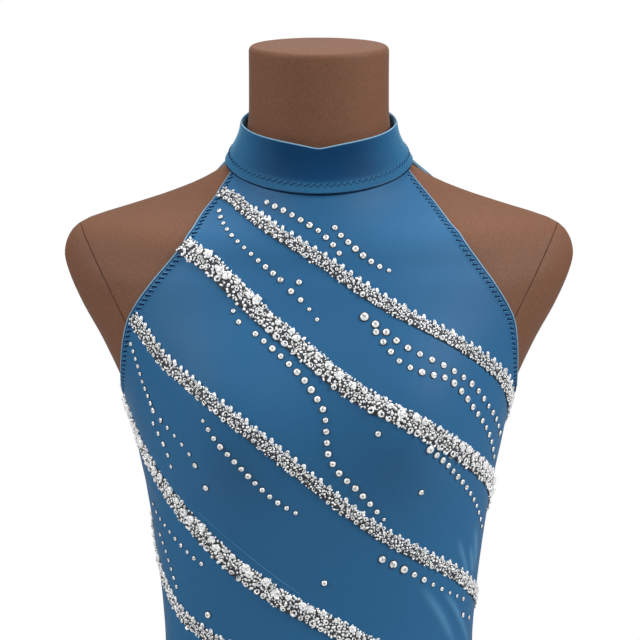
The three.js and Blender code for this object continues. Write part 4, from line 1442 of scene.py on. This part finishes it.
def sewCollar():
    look = sewing["collar"]
    reach = look["reach"]
    angle = np.linspace(-reach, reach, int(2 * reach * look["stretch"] / look["step"]) * 2)
    level = look["level"] + look["rise"] * (np.arange(len(angle)) % 2)
    away = along(collar["rows"], "level", "outer", level) + collarShift(angle, level) + look["lift"]
    points, out = onForm(angle, collarLevel(angle, level), away), formNormal(angle, level)
    sewZigzag("collar_stitches", points[:-1], points[1:], out[:-1], "collar_cloth", look["weight"])


def sewHem():
    look = sewing["hem"]
    drop = skirt["length"] - look["up"]
    fine = np.linspace(-90, 270, look["steps"])
    points = onSkirt(fine, np.full(len(fine), drop))
    length = lengthAlong(points)
    at = np.arange(1, length[-1] - 4, look["step"])
    starts, ends = (readAlong(s, length, points) for s in (at, at + look["step"] - look["gap"]))
    normals = skirtNormal(np.interp(at, length, fine), np.full(len(at), drop))
    sew("hem_stitches", starts, ends, normals, sewing["thin"], thread, "skirt_cloth")


sewEdges()
sewCollar()
sewHem()
print("sewing is made")

# Two buttons on the collar's one end, and the thread loops of the other that hold them
buttons = dict(
    angle=184.8, radius=4.4, height=2.6, segments=40, facets=12, tones=(0.35, 0.8, 0.95, 1.0),
    # the metal cup: how far in from its rim, and the height
    cup=((0.8, 0), (0, 0.7), (0, 1.0), (0.5, 1.25), (0.6, 1.0)),
    stone=dict(inset=0.7, table=0.55, up=1.0, sink=0.05),
    loop=dict(radius=0.55, clear=0.3, leave=0.22, tail=9.5, gap=1.2, up=0.75, droop=0.016, steps=26),
    seats=listed("node level lift", [("button_1", 1400.0, -0.05), ("button_2", 1411.5, 0.95)]),
)


def makeButton(node, foot, out):
    radius, height, stone = buttons["radius"], buttons["height"], buttons["stone"]
    bm = spun([(0, 0)] + [(radius - x, z) for x, z in buttons["cup"]], buttons["segments"], 1e-5)
    cup = len(bm.faces)
    wide, tall = radius - stone["inset"], height - stone["up"]
    made = bmesh.ops.create_cone(bm, cap_ends=True, segments=buttons["facets"], radius1=wide,
                                 radius2=wide * stone["table"], depth=tall)["verts"]
    bmesh.ops.translate(bm, verts=made, vec=(0, 0, stone["up"] + tall / 2 - stone["sink"]))
    bmesh.ops.recalc_face_normals(bm, faces=bm.faces)
    for i, face in enumerate(bm.faces):
        face.material_index = 0 if i < cup else 1
        face.smooth = i < cup
    toward = Vector((0, 0, 1)).rotation_difference(Vector(out)).to_matrix()
    bmesh.ops.scale(bm, verts=bm.verts, vec=(mm, mm, mm))
    bmesh.ops.rotate(bm, verts=bm.verts, cent=(0, 0, 0), matrix=toward)
    bmesh.ops.translate(bm, verts=bm.verts, vec=Vector(foot * mm))
    piece = finishMesh(node + "_gem", bm, steel, crystal)
    # random painted tones of the facets, as sparkle
    tones = np.random.default_rng(3).choice(buttons["tones"], len(piece.data.polygons))
    piece.data.attributes.new("tone", "FLOAT", "FACE").data.foreach_set("value", tones)
    place(piece, "button_crystal", node)


def makeLoop(node, foot, right, up, out):
    # The loop leaves the other end of the collar, passes round the button and comes back
    look = buttons["loop"]
    leave, spread = look["leave"], buttons["radius"] + look["clear"]
    loop = []
    for s in np.linspace(0, 1, look["steps"]):
        bend = np.interp(s, (leave, 1 - leave), (math.pi / 2, -math.pi / 2))
        x, y = spread * math.cos(bend), spread * math.sin(bend)
        if not leave < s < 1 - leave:
            away = min(s, 1 - s) / leave
            x = -look["tail"] * (1 - away)
            y = math.copysign(look["gap"] + (spread - look["gap"]) * away, 0.5 - s)
        loop.append(foot + right * x + up * y + out * (look["up"] - look["droop"] * x * x * (x < 0)))
    bm = bmesh.new()
    tube(bm, loop, look["radius"])
    place(finishMesh(node + "_loop", bm, collarCloth), "collar_cloth")


for seat in buttons["seats"]:
    seatLevel = collarLevel(buttons["angle"], seat["level"])
    seatLift = along(collar["rows"], "level", "outer", seat["level"]) + seat["lift"]
    foot, out = onForm(buttons["angle"], seatLevel, seatLift), formNormal(buttons["angle"], seatLevel)
    right, up = (unit(step) for step in steps(np.array(buttons["angle"]), np.array(seatLevel)))
    makeButton(seat["node"], foot, out)
    makeLoop(seat["node"], foot, right, up, out)
print("buttons are made")


def addFloor():
    look = studio["floor"]
    bm = bmesh.new()
    bmesh.ops.create_circle(bm, cap_ends=True, segments=look["sides"], radius=look["radius"])
    bmesh.ops.translate(bm, verts=bm.verts, vec=(0, 0, -look["drop"]))
    finishMesh("floor", bm, newMaterial("paleFloor", look["colour"], look["roughness"]))


addFloor()
bpy.context.scene.view_settings.view_transform = "Standard"

bpy.context.view_layer.update()
